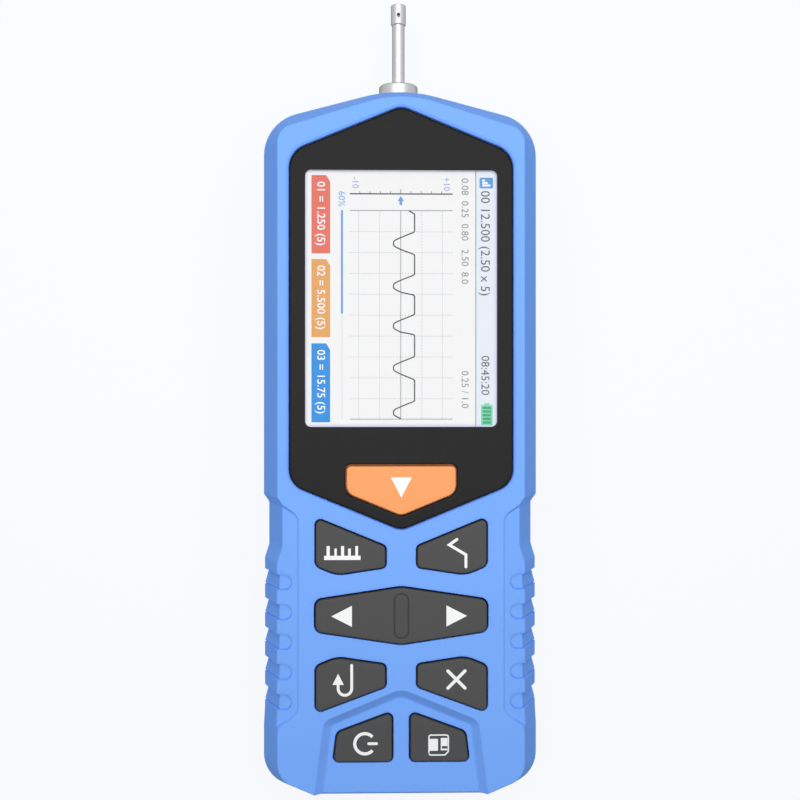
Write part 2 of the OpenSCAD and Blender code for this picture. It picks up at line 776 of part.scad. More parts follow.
// The board runs between the screw bosses, with a tongue at the top and a narrow lower end
module main_board() {
    low_w = 2 * (face_w / 2 - 5.5 - case_boss_d / 2 - 1.7);
    tongue_w = 2 * (face_w / 2 - 8.5 - case_boss_d / 2 - 3.7);
    wide_low_y = corner_y + 7.4 + case_boss_d / 2 + 2.2;
    wide_top_y = shoulder_y - 2.96 - case_boss_d / 2 - 2.7;
    color("darkgreen") difference() {
        union() {
            box([-board_w / 2, wide_low_y, board_z], [board_w / 2, wide_top_y, board_top_z]);
            box([-low_w / 2, -face_end + 1, board_z], [low_w / 2, wide_low_y + lap, board_top_z]);
            box([-tongue_w / 2, wide_top_y - lap, board_z], [tongue_w / 2, panel_y - 3.8, board_top_z]);
        }
        for (p = board_screw_points)
            post(p, board_screw_d + 2 * fit, board_z - over, board_top_z + over);
    }
}

switch_points = concat([start_middle], [for (s = [-1, 1]) each [[s * rocker_press_x, keys_y],
    [s * side_key_middle.x, side_key_middle.y], [s * side_key_middle.x, 2 * keys_y - side_key_middle.y],
    [s * low_key_middle.x, low_key_middle.y]]]);

module key_switches() {
    color("gainsboro")
        for (p = switch_points)
            post(p, switch_d, board_top_z, switch_top_z);
}

module keypad_mat() {
    mat_w = rocker_w + 1;
    color("darkslategray") difference() {
        box([-mat_w / 2, grip_low_y - 1.6, board_top_z],
            [mat_w / 2, lcd_y - lcd_l / 2 - 1, board_top_z + mat_t]);
        for (p = switch_points)
            post(p, switch_d + 1, board_top_z - over, board_top_z + mat_t + over);
    }
}

// A key cap through an opening, with a flange under the plate and a plunger over its switch
module key(points, radii, middle, surface_z, under_z) {
    flange_z = under_z - flange_gap - flange_t;
    slab(rounded_grown(points, radii, -key_gap), flange_z, surface_z + key_proud);
    slab(rounded_grown(points, radii, flange_lip), flange_z, flange_z + flange_t);
    post(middle, plunger_d, plunger_z, flange_z + lap);
}

module start_key() {
    color("sandybrown") key(start_points, start_radii, start_middle, panel_top_z, shelf_z);
}

module scale_key() {
    color(dark) key(mirrored(side_key_points), backwards(side_key_radii),
        [-side_key_middle.x, side_key_middle.y], case_h, face_under_z);
}

module parameter_key() {
    color(dark) key(side_key_points, side_key_radii, side_key_middle, case_h, face_under_z);
}

module enter_key() {
    color(dark) key(turned_over(mirrored(side_key_points)), side_key_radii,
        [-side_key_middle.x, 2 * keys_y - side_key_middle.y], case_h, face_under_z);
}

module escape_key() {
    color(dark) key(turned_over(side_key_points), backwards(side_key_radii),
        [side_key_middle.x, 2 * keys_y - side_key_middle.y], case_h, face_under_z);
}

module power_key() {
    color(dark) key(mirrored(low_key_points), backwards(low_key_radii),
        [-low_key_middle.x, low_key_middle.y], step_z, step_under_z);
}

module save_key() {
    color(dark) key(low_key_points, low_key_radii, low_key_middle, step_z, step_under_z);
}

// The rocker turns on two short pins along Y
module arrow_rocker() {
    rocker_z = rocker_axis_z - 0.2;
    reach = rocker_top + ear_gap + ear_t;
    press_z = switch_top_z + rocker_press_x * tan(rocker_tilt) + 0.2;
    color(dark) {
        slab(rounded_grown(rocker_points, rocker_radii, -key_gap), rocker_z, case_h + key_proud);
        box([-ear_w / 2, keys_y - rocker_top + key_gap + lap, rocker_axis_z - rocker_pin_d / 2 - lap],
            [ear_w / 2, keys_y + rocker_top - key_gap - lap, rocker_z + lap]);
        bar(0, rocker_axis_z, rocker_pin_d, keys_y - reach, keys_y + reach);
        for (s = [-1, 1])
            post([s * rocker_press_x, keys_y], plunger_d, press_z, rocker_z + lap);
    }
}

// A folded shell with a tongue inside, open at the end of the case
module charging_socket() {
    inner_h = usb_h - 2 * usb_wall;
    color("silver") translate([0, usb_end_y, usb_z]) rotate([90, 0, 0]) mirror([0, 0, 1]) {
        difference() {
            linear_extrude(usb_l) stadium(usb_w, usb_h);
            translate([0, 0, -over])
                linear_extrude(usb_l - 1 + over) stadium(usb_w - 2 * usb_wall, inner_h);
        }
        translate([0, 0, 0.6]) linear_extrude(usb_l - 1) square([usb_w - 2.4, 0.7], center = true);
    }
}

module battery_pack() {
    edge = 2;
    w = battery_w / 2;
    corners = both_sides([[w, battery_y], [w, battery_y + battery_l]], []);
    color("slategray") slab(rounded(corners, [edge, edge, edge, edge]), floor_t, floor_t + battery_h);
}

// A cast base plate with three bulkheads and four screwed ears
module drive_frame() {
    half = drive_w / 2;
    color("lightsteelblue") difference() {
        union() {
            box([-half, motor_bulkhead_y, plate_z], [half, front_bulkhead_y + bulkhead_t, plate_top_z]);
            for (y = [motor_bulkhead_y, rear_bulkhead_y, front_bulkhead_y])
                box([-half, y, plate_z], [half, y + bulkhead_t, bulkhead_top_z]);
            for (p = drive_screw_points) {
                post(p, ear_d, plate_z, plate_top_z);
                box([min(0, p.x), p.y - ear_d / 2, plate_z], [max(0, p.x), p.y + ear_d / 2, plate_top_z]);
            }
        }
        bar(0, pickup_z, pickup_d + 1, front_bulkhead_y - over, front_bulkhead_y + bulkhead_t + over);
        for (s = [-1, 1])
            bar(s * rod_span / 2, pickup_z, rod_d + 2 * slip, rear_bulkhead_y + 0.5,
                front_bulkhead_y + bulkhead_t + over);
        bar(0, screw_z, bearing_d + 2 * slip, rear_bulkhead_y - over, front_bulkhead_y + bulkhead_t + over);
        bar(0, screw_z, 6, motor_bulkhead_y - over, motor_bulkhead_y + bulkhead_t + over);
        for (s = [-1, 1])
            bar(s * motor_screw_span / 2, screw_z, motor_screw_d + 2 * slip, motor_bulkhead_y - over,
                motor_bulkhead_y + bulkhead_t + over);
        for (p = drive_screw_points)
            post(p, board_screw_d + 2 * slip, plate_z - over, plate_top_z + over);
    }
}

module guide_rods() {
    color("silver")
        for (s = [-1, 1])
            bar(s * rod_span / 2, pickup_z, rod_d, rear_bulkhead_y + 0.6, front_bulkhead_y + bulkhead_t);
}

module screw_bearings() {
    color("tan")
        for (y = [rear_bulkhead_y, front_bulkhead_y])
            difference() {
                bar(0, screw_z, bearing_d, y, y + bulkhead_t);
                bar(0, screw_z, journal_d + 2 * slip, y - over, y + bulkhead_t + over);
            }
}

module lead_screw() {
    thread_y = rear_bulkhead_y + bulkhead_t + 0.3;
    color("gray") {
        bar(0, screw_z, screw_d, thread_y, front_bulkhead_y - 0.3);
        bar(0, screw_z, journal_d, shaft_joint_y + slip, front_bulkhead_y + bulkhead_t);
    }
}

module shaft_coupling() {
    color("goldenrod") difference() {
        bar(0, screw_z, coupling_d, coupling_y, coupling_y + coupling_l);
        bar(0, screw_z, journal_d + 2 * slip, coupling_y - over, coupling_y + coupling_l + over);
    }
}

module motor_shaft() {
    color("silver") bar(0, screw_z, journal_d, motor_bulkhead_y - gearbox_l + shaft_bite,
        shaft_joint_y - slip);
}

// A gearbox and a motor can in one sealed unit, with the gearbox's face on the bulkhead
module drive_motor() {
    color("darkgray") difference() {
        union() {
            bar(0, screw_z, motor_d, motor_bulkhead_y - gearbox_l, motor_bulkhead_y);
            bar(0, screw_z, motor_d - 0.6, motor_bulkhead_y - gearbox_l - motor_l,
                motor_bulkhead_y - gearbox_l + lap);
        }
        bar(0, screw_z, journal_d + 2 * slip, motor_bulkhead_y - gearbox_l + shaft_bite - lap,
            motor_bulkhead_y + over);
        for (s = [-1, 1])
            bar(s * motor_screw_span / 2, screw_z, motor_screw_d + 2 * slip,
                motor_bulkhead_y - motor_screw_bite - lap, motor_bulkhead_y + over);
    }
}

module motor_screws() {
    front_y = motor_bulkhead_y + bulkhead_t;
    color("silver")
        for (s = [-1, 1]) {
            bar(s * motor_screw_span / 2, screw_z, motor_screw_d, motor_bulkhead_y - motor_screw_bite,
                front_y + lap);
            bar(s * motor_screw_span / 2, screw_z, motor_head_d, front_y, front_y + motor_head_t);
        }
}

// One small switch at each end of the travel, on the faces of the bulkheads
module limit_switches() {
    inner_x = nut_flange_d / 2 + 0.5;
    low_z = pickup_z + pickup_d / 2 - 2;
    color("black")
        for (y = [rear_bulkhead_y + bulkhead_t, front_bulkhead_y - switch_block_t])
            box([inner_x, y, low_z], [inner_x + switch_block_w, y + switch_block_t, low_z + switch_block_h]);
}

module carriage() {
    far_y = carriage_y + carriage_l;
    color("steelblue") difference() {
        box([-carriage_w / 2, carriage_y, carriage_z], [carriage_w / 2, far_y, carriage_top_z]);
        bar(0, pickup_z, pickup_d + 2 * slip, pickup_y, far_y + over);
        bar(0, pickup_z, socket_d + 2 * slip, pickup_y - socket_l, pickup_y + over);
        bar(0, screw_z, nut_d + 2 * slip, carriage_y - over, far_y + over);
        for (s = [-1, 1])
            bar(s * rod_span / 2, pickup_z, bush_d + 2 * slip, carriage_y - over, far_y + over);
    }
}

module rod_bushes() {
    color("peru")
        for (s = [-1, 1])
            difference() {
                bar(s * rod_span / 2, pickup_z, bush_d, carriage_y, carriage_y + carriage_l);
                bar(s * rod_span / 2, pickup_z, rod_d + 2 * slip, carriage_y - over,
                    carriage_y + carriage_l + over);
            }
}

module drive_nut() {
    color("goldenrod") difference() {
        union() {
            bar(0, screw_z, nut_d, carriage_y - nut_flange_t, carriage_y - nut_flange_t + nut_l);
            bar(0, screw_z, nut_flange_d, carriage_y - nut_flange_t, carriage_y);
        }
        bar(0, screw_z, screw_d + 2 * slip, carriage_y - nut_flange_t - over, carriage_y + nut_l);
    }
}

// Round contacts on a ring, shared by the plug and its socket
module contacts(d, from_y, to_y) {
    for (i = [0:contact_count - 1]) {
        angle = 90 + i * 360 / contact_count;
        bar(contact_ring_d / 2 * cos(angle), pickup_z + contact_ring_d / 2 * sin(angle), d, from_y, to_y);
    }
}

module pickup_socket() {
    color("black") difference() {
        bar(0, pickup_z, socket_d, pickup_y - socket_l, pickup_y);
        contacts(contact_d + 2 * slip, pickup_y - 5, pickup_y + over);
    }
}

module pickup_plug() {
    color("black") difference() {
        bar(0, pickup_z, pickup_bore_d - 2 * slip, pickup_y, pickup_y + plug_l);
        contacts(contact_d + 2 * slip, pickup_y - over, pickup_y + plug_l + over);
    }
}

module contact_pins() {
    color("gold") contacts(contact_d, pickup_y - 4.5, pickup_y + plug_l + 0.5);
}

// A turned sleeve with a closed nose that holds the stylus tube
module pickup_body() {
    color("lightgray") difference() {
        bar(0, pickup_z, pickup_d, pickup_y, pickup_end_y);
        bar(0, pickup_z, pickup_bore_d, pickup_y - over, pickup_end_y - pickup_nose_t);
        bar(0, pickup_z, tube_d + 2 * slip, pickup_end_y - pickup_nose_t - over, pickup_end_y + over);
        translate([-pickup_d, pivot_y, pickup_z]) rotate([0, 90, 0])
            cylinder(d = pin_d + 2 * slip, h = 2 * pickup_d);
    }
}

module pickup_tube() {
    color("lightgray") difference() {
        bar(0, pickup_z, tube_d, pickup_end_y - pickup_nose_t, tube_end_y);
        bar(0, pickup_z, tube_d - 2 * tube_wall, pickup_end_y - pickup_nose_t - over, tube_end_y + over);
    }
}

// The sleeve at the tip, with a slot below for the stylus and a small adjusting hole above
module skid_head() {
    slot_w = 0.9;
    slot_l = 1.5;
    hole_d = 0.7;
    hole_y = tube_end_y + 0.9;
    color("lightgray") difference() {
        bar(0, pickup_z, head_d, head_y, head_y + head_l);
        bar(0, pickup_z, tube_d + 2 * slip, head_y - over, tube_end_y + slip);
        bar(0, pickup_z, tube_d - 2 * tube_wall, head_y - over, head_y + head_l - head_nose_t);
        box([-slot_w / 2, tip_y - slot_l / 2, pickup_z - head_d], [slot_w / 2, tip_y + slot_l / 2, pickup_z]);
        post([0, skid_y], skid_d + 2 * slip, pickup_z - head_d, pickup_z);
        for (y = [hole_y, hole_y + hole_d])
            post([0, y], hole_d, pickup_z, pickup_z + head_d);
        box([-hole_d / 2, hole_y, pickup_z], [hole_d / 2, hole_y + hole_d, pickup_z + head_d]);
    }
}

// A hard button that slides over the work beside the stylus
module skid_button() {
    top_z = pickup_z - tube_d / 2 + tube_wall;
    low_z = pickup_z - head_d / 2 - skid_drop;
    color("firebrick") {
        post([0, skid_y], skid_d, low_z + skid_d / 2, top_z);
        translate([0, skid_y, low_z + skid_d / 2]) sphere(d = skid_d);
    }
}

// A lever on a cross pin, with the sensing armature at its rear end
module stylus_arm() {
    hub_d = 1.8;
    hub_w = 2;
    color("gray") difference() {
        union() {
            bar(0, pickup_z, arm_d, armature_y, tip_y + arm_d / 2);
            translate([-hub_w / 2, pivot_y, pickup_z]) rotate([0, 90, 0]) cylinder(d = hub_d, h = hub_w);
            box([-armature_w / 2, armature_y, pickup_z - armature_t / 2],
                [armature_w / 2, armature_y + armature_l, pickup_z + armature_t / 2]);
        }
        translate([-hub_w, pivot_y, pickup_z]) rotate([0, 90, 0])
            cylinder(d = pin_d + 2 * slip, h = 2 * hub_w);
        post([0, tip_y], arm_d / 2 + 2 * slip, pickup_z - arm_d, pickup_z + arm_d);
    }
}

module stylus_tip() {
    low_z = pickup_z - head_d / 2 - skid_drop - stylus_drop;
    cone_h = 1;
    color("white") {
        post([0, tip_y], arm_d / 2, low_z + cone_h, pickup_z + arm_d / 2);
        translate([0, tip_y, low_z]) cylinder(d1 = 0.04, d2 = arm_d / 2, h = cone_h);
    }
}

module pivot_pin() {
    color("silver") translate([-pickup_d / 2 + 0.3, pivot_y, pickup_z]) rotate([0, 90, 0])
        cylinder(d = pin_d, h = pickup_d - 0.6);
}

// A coil above and a coil below the armature
module sensor_coils() {
    gap = armature_t / 2 + coil_gap;
    middle = [0, armature_y + armature_l / 2];
    color("chocolate") {
        post(middle, coil_d, pickup_z + gap, pickup_z + gap + coil_t);
        post(middle, coil_d, pickup_z - gap - coil_t, pickup_z - gap);
    }
}

// Round-headed screws, each with its head at the lower end
module screws(points, shaft_d, shaft_l, head_d, head_t, head_z) {
    for (p = points) {
        post(p, head_d, head_z - head_t, head_z);
        post(p, shaft_d, head_z - lap, head_z + shaft_l);
    }
}

module case_screws() {
    color("silver")
        screws(case_screw_points, case_screw_d, case_screw_l, case_head_d, case_head_t, case_head_z);
}

module board_screws() {
    color("silver")
        screws(board_screw_points, board_screw_d, board_screw_l, board_head_d, board_head_t, board_z);
}

module drive_screws() {
    color("silver")
        for (p = drive_screw_points) {
            post(p, board_head_d, plate_top_z, plate_top_z + board_head_t);
            post(p, board_screw_d, plate_top_z - drive_screw_l, plate_top_z + lap);
        }
}

front_case();
rear_case();
window_panel();
lcd_module();
lcd_tray();
main_board();
key_switches();
keypad_mat();
start_key();
scale_key();
parameter_key();
arrow_rocker();
enter_key();
escape_key();
power_key();
save_key();
charging_socket();
battery_pack();
drive_frame();
guide_rods();
screw_bearings();
lead_screw();
shaft_coupling();
motor_shaft();
drive_motor();
motor_screws();
limit_switches();
carriage();
rod_bushes();
drive_nut();
pickup_socket();
pickup_body();
pickup_tube();
skid_head();
skid_button();
stylus_arm();
stylus_tip();
pivot_pin();
sensor_coils();
pickup_plug();
contact_pins();
case_screws();
board_screws();
drive_screws();
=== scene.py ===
from math import atan2, cos, pi, radians, sin, tan

import bmesh
import bpy
import numpy as np
from mathutils import Matrix, Vector
from mathutils.geometry import delaunay_2d_cdt


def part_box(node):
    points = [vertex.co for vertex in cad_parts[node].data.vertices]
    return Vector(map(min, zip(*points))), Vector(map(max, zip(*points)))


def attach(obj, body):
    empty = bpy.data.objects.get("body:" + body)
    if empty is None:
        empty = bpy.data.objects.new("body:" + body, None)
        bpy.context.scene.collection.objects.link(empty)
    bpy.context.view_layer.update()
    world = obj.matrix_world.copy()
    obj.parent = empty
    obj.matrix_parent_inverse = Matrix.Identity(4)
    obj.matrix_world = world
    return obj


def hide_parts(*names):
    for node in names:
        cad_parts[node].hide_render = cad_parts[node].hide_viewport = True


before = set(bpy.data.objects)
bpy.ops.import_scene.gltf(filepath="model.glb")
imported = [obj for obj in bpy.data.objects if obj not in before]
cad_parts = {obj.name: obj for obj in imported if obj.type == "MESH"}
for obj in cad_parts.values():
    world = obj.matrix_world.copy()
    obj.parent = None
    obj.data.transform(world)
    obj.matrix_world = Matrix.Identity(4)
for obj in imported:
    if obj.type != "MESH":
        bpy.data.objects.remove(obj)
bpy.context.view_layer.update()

# Rear case: a deep tub that holds the drive and the battery, injection moulded in blue
# ABS with a fine spark-eroded grain. Four screws in wells join it to the front case,
# and the pickup comes out of a round hole in its top end.
MM = 0.001
parting_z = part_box("front_case")[0].z / MM
face_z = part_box("front_case")[1].z / MM
case_half_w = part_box("front_case")[1].x / MM
case_half_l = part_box("front_case")[1].y / MM
side_draft = 4.0
draft_rate = side_draft / (face_z - parting_z)
face_half_w = case_half_w - side_draft
face_end = case_half_l - side_draft
wall_t = 2.6
foot_half_w = 19.2
crown_slope = radians(17.1)
foot_slope = radians(23.3)
crown_r = 25.0
crown_y = face_end - 0.3 + crown_r * (1 / cos(crown_slope) - 1)
shoulder_y = crown_y - face_half_w * tan(crown_slope)
foot_y = -face_end + 0.6
corner_y = foot_y + (face_half_w - foot_half_w) * tan(foot_slope)
rim_foot_half_w = 20.2
rim_foot_y = foot_y - 3.3
rim_corner_y = corner_y - 2.4
rim_shoulder_y = case_half_l - 7.6
rim_crown_y = case_half_l + 0.68


def both_sides(right, upper=(), lower=()):
    """An outline mirrored about X = 0: right side upwards, upper point, left side down, lower point."""
    left = [(-x, y) for x, y in reversed(right)]
    return list(right) + list(upper) + left + list(lower)


def rounded(points, radii, out=0.0, steps=10):
    """The outline moved out by a distance, with its corners rounded by arcs about fixed centres."""
    outline = []
    count = len(points)
    for i in range(count):
        here = Vector(points[i])
        came = (here - Vector(points[i - 1])).normalized()
        goes = (Vector(points[(i + 1) % count]) - here).normalized()
        turn = atan2(came.x * goes.y - came.y * goes.x, came.dot(goes))
        normal_in = Vector((came.y, -came.x))
        normal_out = Vector((goes.y, -goes.x))
        corner = here + (normal_in + normal_out) * (out / (1 + normal_in.dot(normal_out)))
        side = 1 if turn > 0 else -1
        r = max(radii[i] + side * out, 0.02)
        reach = r * tan(abs(turn) / 2)
        centre = corner - came * reach - normal_in * (side * r)
        for k in range(steps + 1):
            swing = turn * k / steps
            c, s = cos(swing), sin(swing)
            arm = Vector((normal_in.x * c - normal_in.y * s, normal_in.x * s + normal_in.y * c))
            outline.append(tuple(centre + arm * (side * r)))
    return outline


face_points = both_sides([(foot_half_w, foot_y), (face_half_w, corner_y), (face_half_w, shoulder_y)],
                         [(0, crown_y)])
face_radii = [0.5, 5.0, 4.0, crown_r, 4.0, 5.0, 0.5]
rim_points = both_sides([(rim_foot_half_w, rim_foot_y), (case_half_w, rim_corner_y),
                         (case_half_w, rim_shoulder_y)], [(0, rim_crown_y)])
rim_radii = [3.0, 7.5, 10.0, 33.0, 10.0, 7.5, 3.0]


def loft(rings, cap_first=True, cap_last=True):
    """Corners and faces of a skin through rings of as many points each."""
    count = len(rings[0])
    corners = [p for ring in rings for p in ring]
    faces = []
    for r in range(len(rings) - 1):
        for i in range(count):
            j = (i + 1) % count
            faces.append((r * count + i, r * count + j, (r + 1) * count + j, (r + 1) * count + i))
    if cap_first:
        faces.append(tuple(reversed(range(count))))
    if cap_last:
        last = (len(rings) - 1) * count
        faces.append(tuple(range(last, last + count)))
    return corners, faces


def turned(profile, centre, along="z", steps=48, hollow=False):
    """A turned solid: (radius, distance) pairs along an axis. A hollow one's profile closes on itself."""
    rings = []
    for r, d in profile + (profile[:1] if hollow else []):
        ring = []
        for k in range(steps):
            a = 2 * pi * k / steps
            u, v = r * cos(a), r * sin(a)
            if along == "z":
                ring.append((centre[0] + u, centre[1] + v, d))
            else:
                ring.append((centre[0] + v, d, centre[1] + u))
        rings.append(ring)
    return loft(rings, not hollow, not hollow)


def joined(*solids):
    """Several sets of corners and faces as one."""
    corners, faces = [], []
    for more_corners, more_faces in solids:
        start = len(corners)
        corners += list(more_corners)
        faces += [tuple(start + i for i in face) for face in more_faces]
    return corners, faces


def blank(name, solid):
    """An object in metres from corners in millimetres."""
    mesh = bpy.data.meshes.new(name)
    corners, faces = solid
    mesh.from_pydata([(x * MM, y * MM, z * MM) for x, y, z in corners], [], faces)
    mesh.update()
    piece = bpy.data.objects.new(name, mesh)
    bpy.context.scene.collection.objects.link(piece)
    return piece


def cleaned(mesh):
    """A mesh opened for work, with doubled corners merged and its faces turned outwards."""
    shape = bmesh.new()
    shape.from_mesh(mesh)
    bmesh.ops.remove_doubles(shape, verts=shape.verts, dist=1e-7)
    bmesh.ops.recalc_face_normals(shape, faces=shape.faces)
    return shape


def carve(piece, tool, operation):
    """Cut a tool out of a piece, or join it on, and keep the result as the piece's mesh."""
    for solid in (piece.data, tool.data):
        shape = cleaned(solid)
        shape.to_mesh(solid)
        shape.free()
    change = piece.modifiers.new(operation.lower(), "BOOLEAN")
    change.operation = operation
    change.solver = "EXACT"
    change.use_self = True
    change.object = tool
    bpy.context.view_layer.update()
    graph = bpy.context.evaluated_depsgraph_get()
    mesh = bpy.data.meshes.new_from_object(piece.evaluated_get(graph))
    piece.modifiers.clear()
    piece.data = mesh
    bpy.data.objects.remove(tool)


def finished(piece, material, body, nodes=(), crease=32):
    """Shade a piece smooth up to its creases, give it its material and seat it on its body."""
    mesh = piece.data
    shape = cleaned(mesh)
    for face in shape.faces:
        face.smooth = True
        face.material_index = 0
    for edge in shape.edges:
        edge.smooth = len(edge.link_faces) == 2 and edge.calc_face_angle(0) < radians(crease)
    shape.to_mesh(mesh)
    shape.free()
    mesh.materials.clear()
    mesh.materials.append(material)
    even = piece.modifiers.new("even_shading", "WEIGHTED_NORMAL")
    even.keep_sharp = True
    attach(piece, body)
    if nodes:
        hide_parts(*nodes)
    return piece


def shade(r, g, b):
    """A colour as a paint chart writes it, 0 to 255, as linear light."""
    light = [(v / 255 / 12.92) if v < 10 else ((v / 255 + 0.055) / 1.055) ** 2.4 for v in (r, g, b)]
    return (*light, 1.0)


def add_node(tree, kind, **values):
    """A shader node with its settings and the values of its sockets, by name."""
    node = tree.nodes.new(kind)
    for key, value in values.items():
        name = key.replace("_", " ")
        if hasattr(node, key):
            setattr(node, key, value)
        else:
            node.inputs[name].default_value = value
    return node


def wire(tree, *pairs):
    """Link outputs to inputs in a shader's tree."""
    for start, end in pairs:
        tree.links.new(start, end)


def effect_group(name, numbers):
    """An empty shader node group that takes a colour and numbers, and gives colour, gloss and height."""
    group = bpy.data.node_groups.new(name, "ShaderNodeTree")
    group.interface.new_socket("Colour", in_out="INPUT", socket_type="NodeSocketColor")
    for socket in numbers:
        group.interface.new_socket(socket, in_out="INPUT", socket_type="NodeSocketFloat")
    group.interface.new_socket("Colour", in_out="OUTPUT", socket_type="NodeSocketColor")
    for socket in ("Roughness", "Height"):
        group.interface.new_socket(socket, in_out="OUTPUT", socket_type="NodeSocketFloat")
    return group, group.nodes.new("NodeGroupInput"), group.nodes.new("NodeGroupOutput")


def effect_results(group, given, result, level, height):
    """Tint the colour by a level, and let the gloss and the relief follow a height."""
    tinted = add_node(group, "ShaderNodeVectorMath", operation="MULTIPLY")
    centred = add_node(group, "ShaderNodeMath", operation="SUBTRACT")
    centred.inputs[1].default_value = 0.5
    gloss = add_node(group, "ShaderNodeMath", operation="MULTIPLY_ADD")
    wire(group, (given.outputs["Colour"], tinted.inputs[0]), (level, tinted.inputs[1]),
         (height, centred.inputs[0]), (centred.outputs[0], gloss.inputs[0]),
         (given.outputs["Gloss Drift"], gloss.inputs[1]), (given.outputs["Roughness"], gloss.inputs[2]),
         (tinted.outputs[0], result.inputs["Colour"]), (gloss.outputs[0], result.inputs["Roughness"]),
         (height, result.inputs["Height"]))


# The grain of a moulded surface: a fine dimple, a slow drift of tone, and gloss that follows the dimple
moulded_finish, given, result = effect_group(
    "moulded_finish", ["Drift", "Grain Scale", "Roughness", "Gloss Drift"])
place = add_node(moulded_finish, "ShaderNodeTexCoord")
grain = add_node(moulded_finish, "ShaderNodeTexNoise", Detail=2.0, Roughness=0.6)
tone = add_node(moulded_finish, "ShaderNodeTexNoise", Scale=45.0, Detail=3.0, Roughness=0.55)
tone_level = add_node(moulded_finish, "ShaderNodeMath", operation="MULTIPLY_ADD")
tone_level.inputs[2].default_value = 1.0
tone_centre = add_node(moulded_finish, "ShaderNodeMath", operation="SUBTRACT")
tone_centre.inputs[1].default_value = 0.5
wire(moulded_finish, (place.outputs["Object"], grain.inputs["Vector"]),
     (place.outputs["Object"], tone.inputs["Vector"]), (given.outputs["Grain Scale"], grain.inputs["Scale"]),
     (tone.outputs["Fac"], tone_centre.inputs[0]), (tone_centre.outputs[0], tone_level.inputs[0]),
     (given.outputs["Drift"], tone_level.inputs[1]))
effect_results(moulded_finish, given, result, tone_level.outputs[0], grain.outputs["Fac"])


def with_effect(name, effect, **values):
    """A material whose gloss follows a shared effect, with its tree, its shader and the effect's node."""
    material = bpy.data.materials.new(name)
    material.use_nodes = True
    tree = material.node_tree
    shader = tree.nodes["Principled BSDF"]
    finish = add_node(tree, "ShaderNodeGroup", node_tree=effect, **values)
    tree.links.new(finish.outputs["Roughness"], shader.inputs["Roughness"])
    return material, tree, shader, finish


def show_relief(tree, shader, finish, relief, depth):
    """Give a shader an effect's colour, and its height as a fine relief of that depth."""
    bump = add_node(tree, "ShaderNodeBump", Strength=relief, Distance=depth)
    wire(tree, (finish.outputs["Colour"], shader.inputs["Base Color"]),
         (finish.outputs["Height"], bump.inputs["Height"]), (bump.outputs["Normal"], shader.inputs["Normal"]))


def moulded(name, colour, roughness=0.5, grain_scale=2400.0, relief=0.25, drift=0.05, specular=0.3):
    """A moulded plastic or rubber, with its grain's relief in tenths of a millimetre."""
    material, tree, shader, finish = with_effect(
        name, moulded_finish, Colour=colour, Drift=drift, Grain_Scale=grain_scale, Roughness=roughness,
        Gloss_Drift=0.16)
    show_relief(tree, shader, finish, relief, 0.1 * MM)
    shader.inputs["Specular IOR Level"].default_value = specular
    return material


case_blue = moulded("case_blue_plastic", shade(122, 172, 251), roughness=0.58, specular=0.03)

rear_inset = 1.2
rear_draft = 1.4
back_r = 6.0
floor_t = 2.5
tub_radii = [r + 2 for r in rim_radii]


def stacked(points, radii, levels):
    """Rings of one outline, moved out and lifted by (out, z) levels."""
    return [[(x, y, z) for x, y in rounded(points, radii, out)] for out, z in levels]


rear_low = rear_inset + rear_draft
rim_chamfer = 0.2
lip_z = parting_z - rim_chamfer
wall_steps, back_steps, inside_steps = 6, 10, 6
outer_levels = [(-(rear_inset + 0.25), parting_z), (-(rear_inset + 0.05), lip_z)]
for k in range(1, wall_steps + 1):
    share = k / wall_steps
    outer_levels.append((-(rear_inset + rear_draft * share), lip_z - (lip_z - back_r) * share))
for k in range(1, back_steps + 1):
    a = k / back_steps * pi / 2
    outer_levels.append((-(rear_low + back_r * (1 - cos(a))), back_r - back_r * sin(a)))
inside_r = back_r - floor_t
inner_levels = []
for k in range(inside_steps, -1, -1):
    a = k / inside_steps * pi / 2
    inner_levels.append((-(rear_low + wall_t + inside_r * (1 - cos(a))), back_r - inside_r * sin(a)))
inner_levels.append((-(rear_inset + wall_t), parting_z))
outer = stacked(rim_points, tub_radii, outer_levels)
inner = stacked(rim_points, tub_radii, inner_levels)
count = len(outer[0])
corners, faces = joined(loft(outer, cap_first=False), loft(inner, cap_last=False))
rim = (len(outer) + len(inner) - 1) * count
for i in range(count):
    j = (i + 1) % count
    faces.append((i, j, rim + j, rim + i))
rear_case = blank("rear_case_tub", (corners, faces))


def box_mm(name):
    """The lower and upper corners of a solid in millimetres."""
    low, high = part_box(name)
    return low / MM, high / MM


screws_low, screws_high = box_mm("case_screws")
screw_head_r, screw_head_h = 2.5, 2.0
screw_x = screws_high.x - screw_head_r
upper_screw_inset = 3.0
screw_places = [(s * (screw_x - upper_screw_inset), screws_high.y - screw_head_r) for s in (-1, 1)]
screw_places += [(s * screw_x, screws_low.y + screw_head_r) for s in (-1, 1)]
boss_r, well_r, well_flare, screw_hole_r = 4.0, 2.7, 0.9, 1.6
well_top_z = screws_low.z + screw_head_h
bosses = [turned([(boss_r, floor_t - 0.6), (boss_r, parting_z)], p, steps=40) for p in screw_places]
carve(rear_case, blank("screw_bosses", joined(*bosses)), "UNION")
well_profile = [(well_r + well_flare, -0.5), (well_r, 0.4), (well_r, well_top_z)]
wells = [turned(well_profile, p, steps=40) for p in screw_places]
hole_profile = [(screw_hole_r, well_top_z - 1), (screw_hole_r, parting_z + 1)]
wells += [turned(hole_profile, p, steps=24) for p in screw_places]
pickup_z = (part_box("pickup_body")[0].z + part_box("pickup_body")[1].z) / 2 / MM
pickup_hole_r = 5.3
hole = turned([(pickup_hole_r, face_end - 12), (pickup_hole_r, case_half_l + 3)], (0, pickup_z), "y", 64)
plate_half_w, plate_half_l, plate_d = 19.0, 26.0, 0.4
plate_points = both_sides([(plate_half_w, -plate_half_l), (plate_half_w, plate_half_l)])
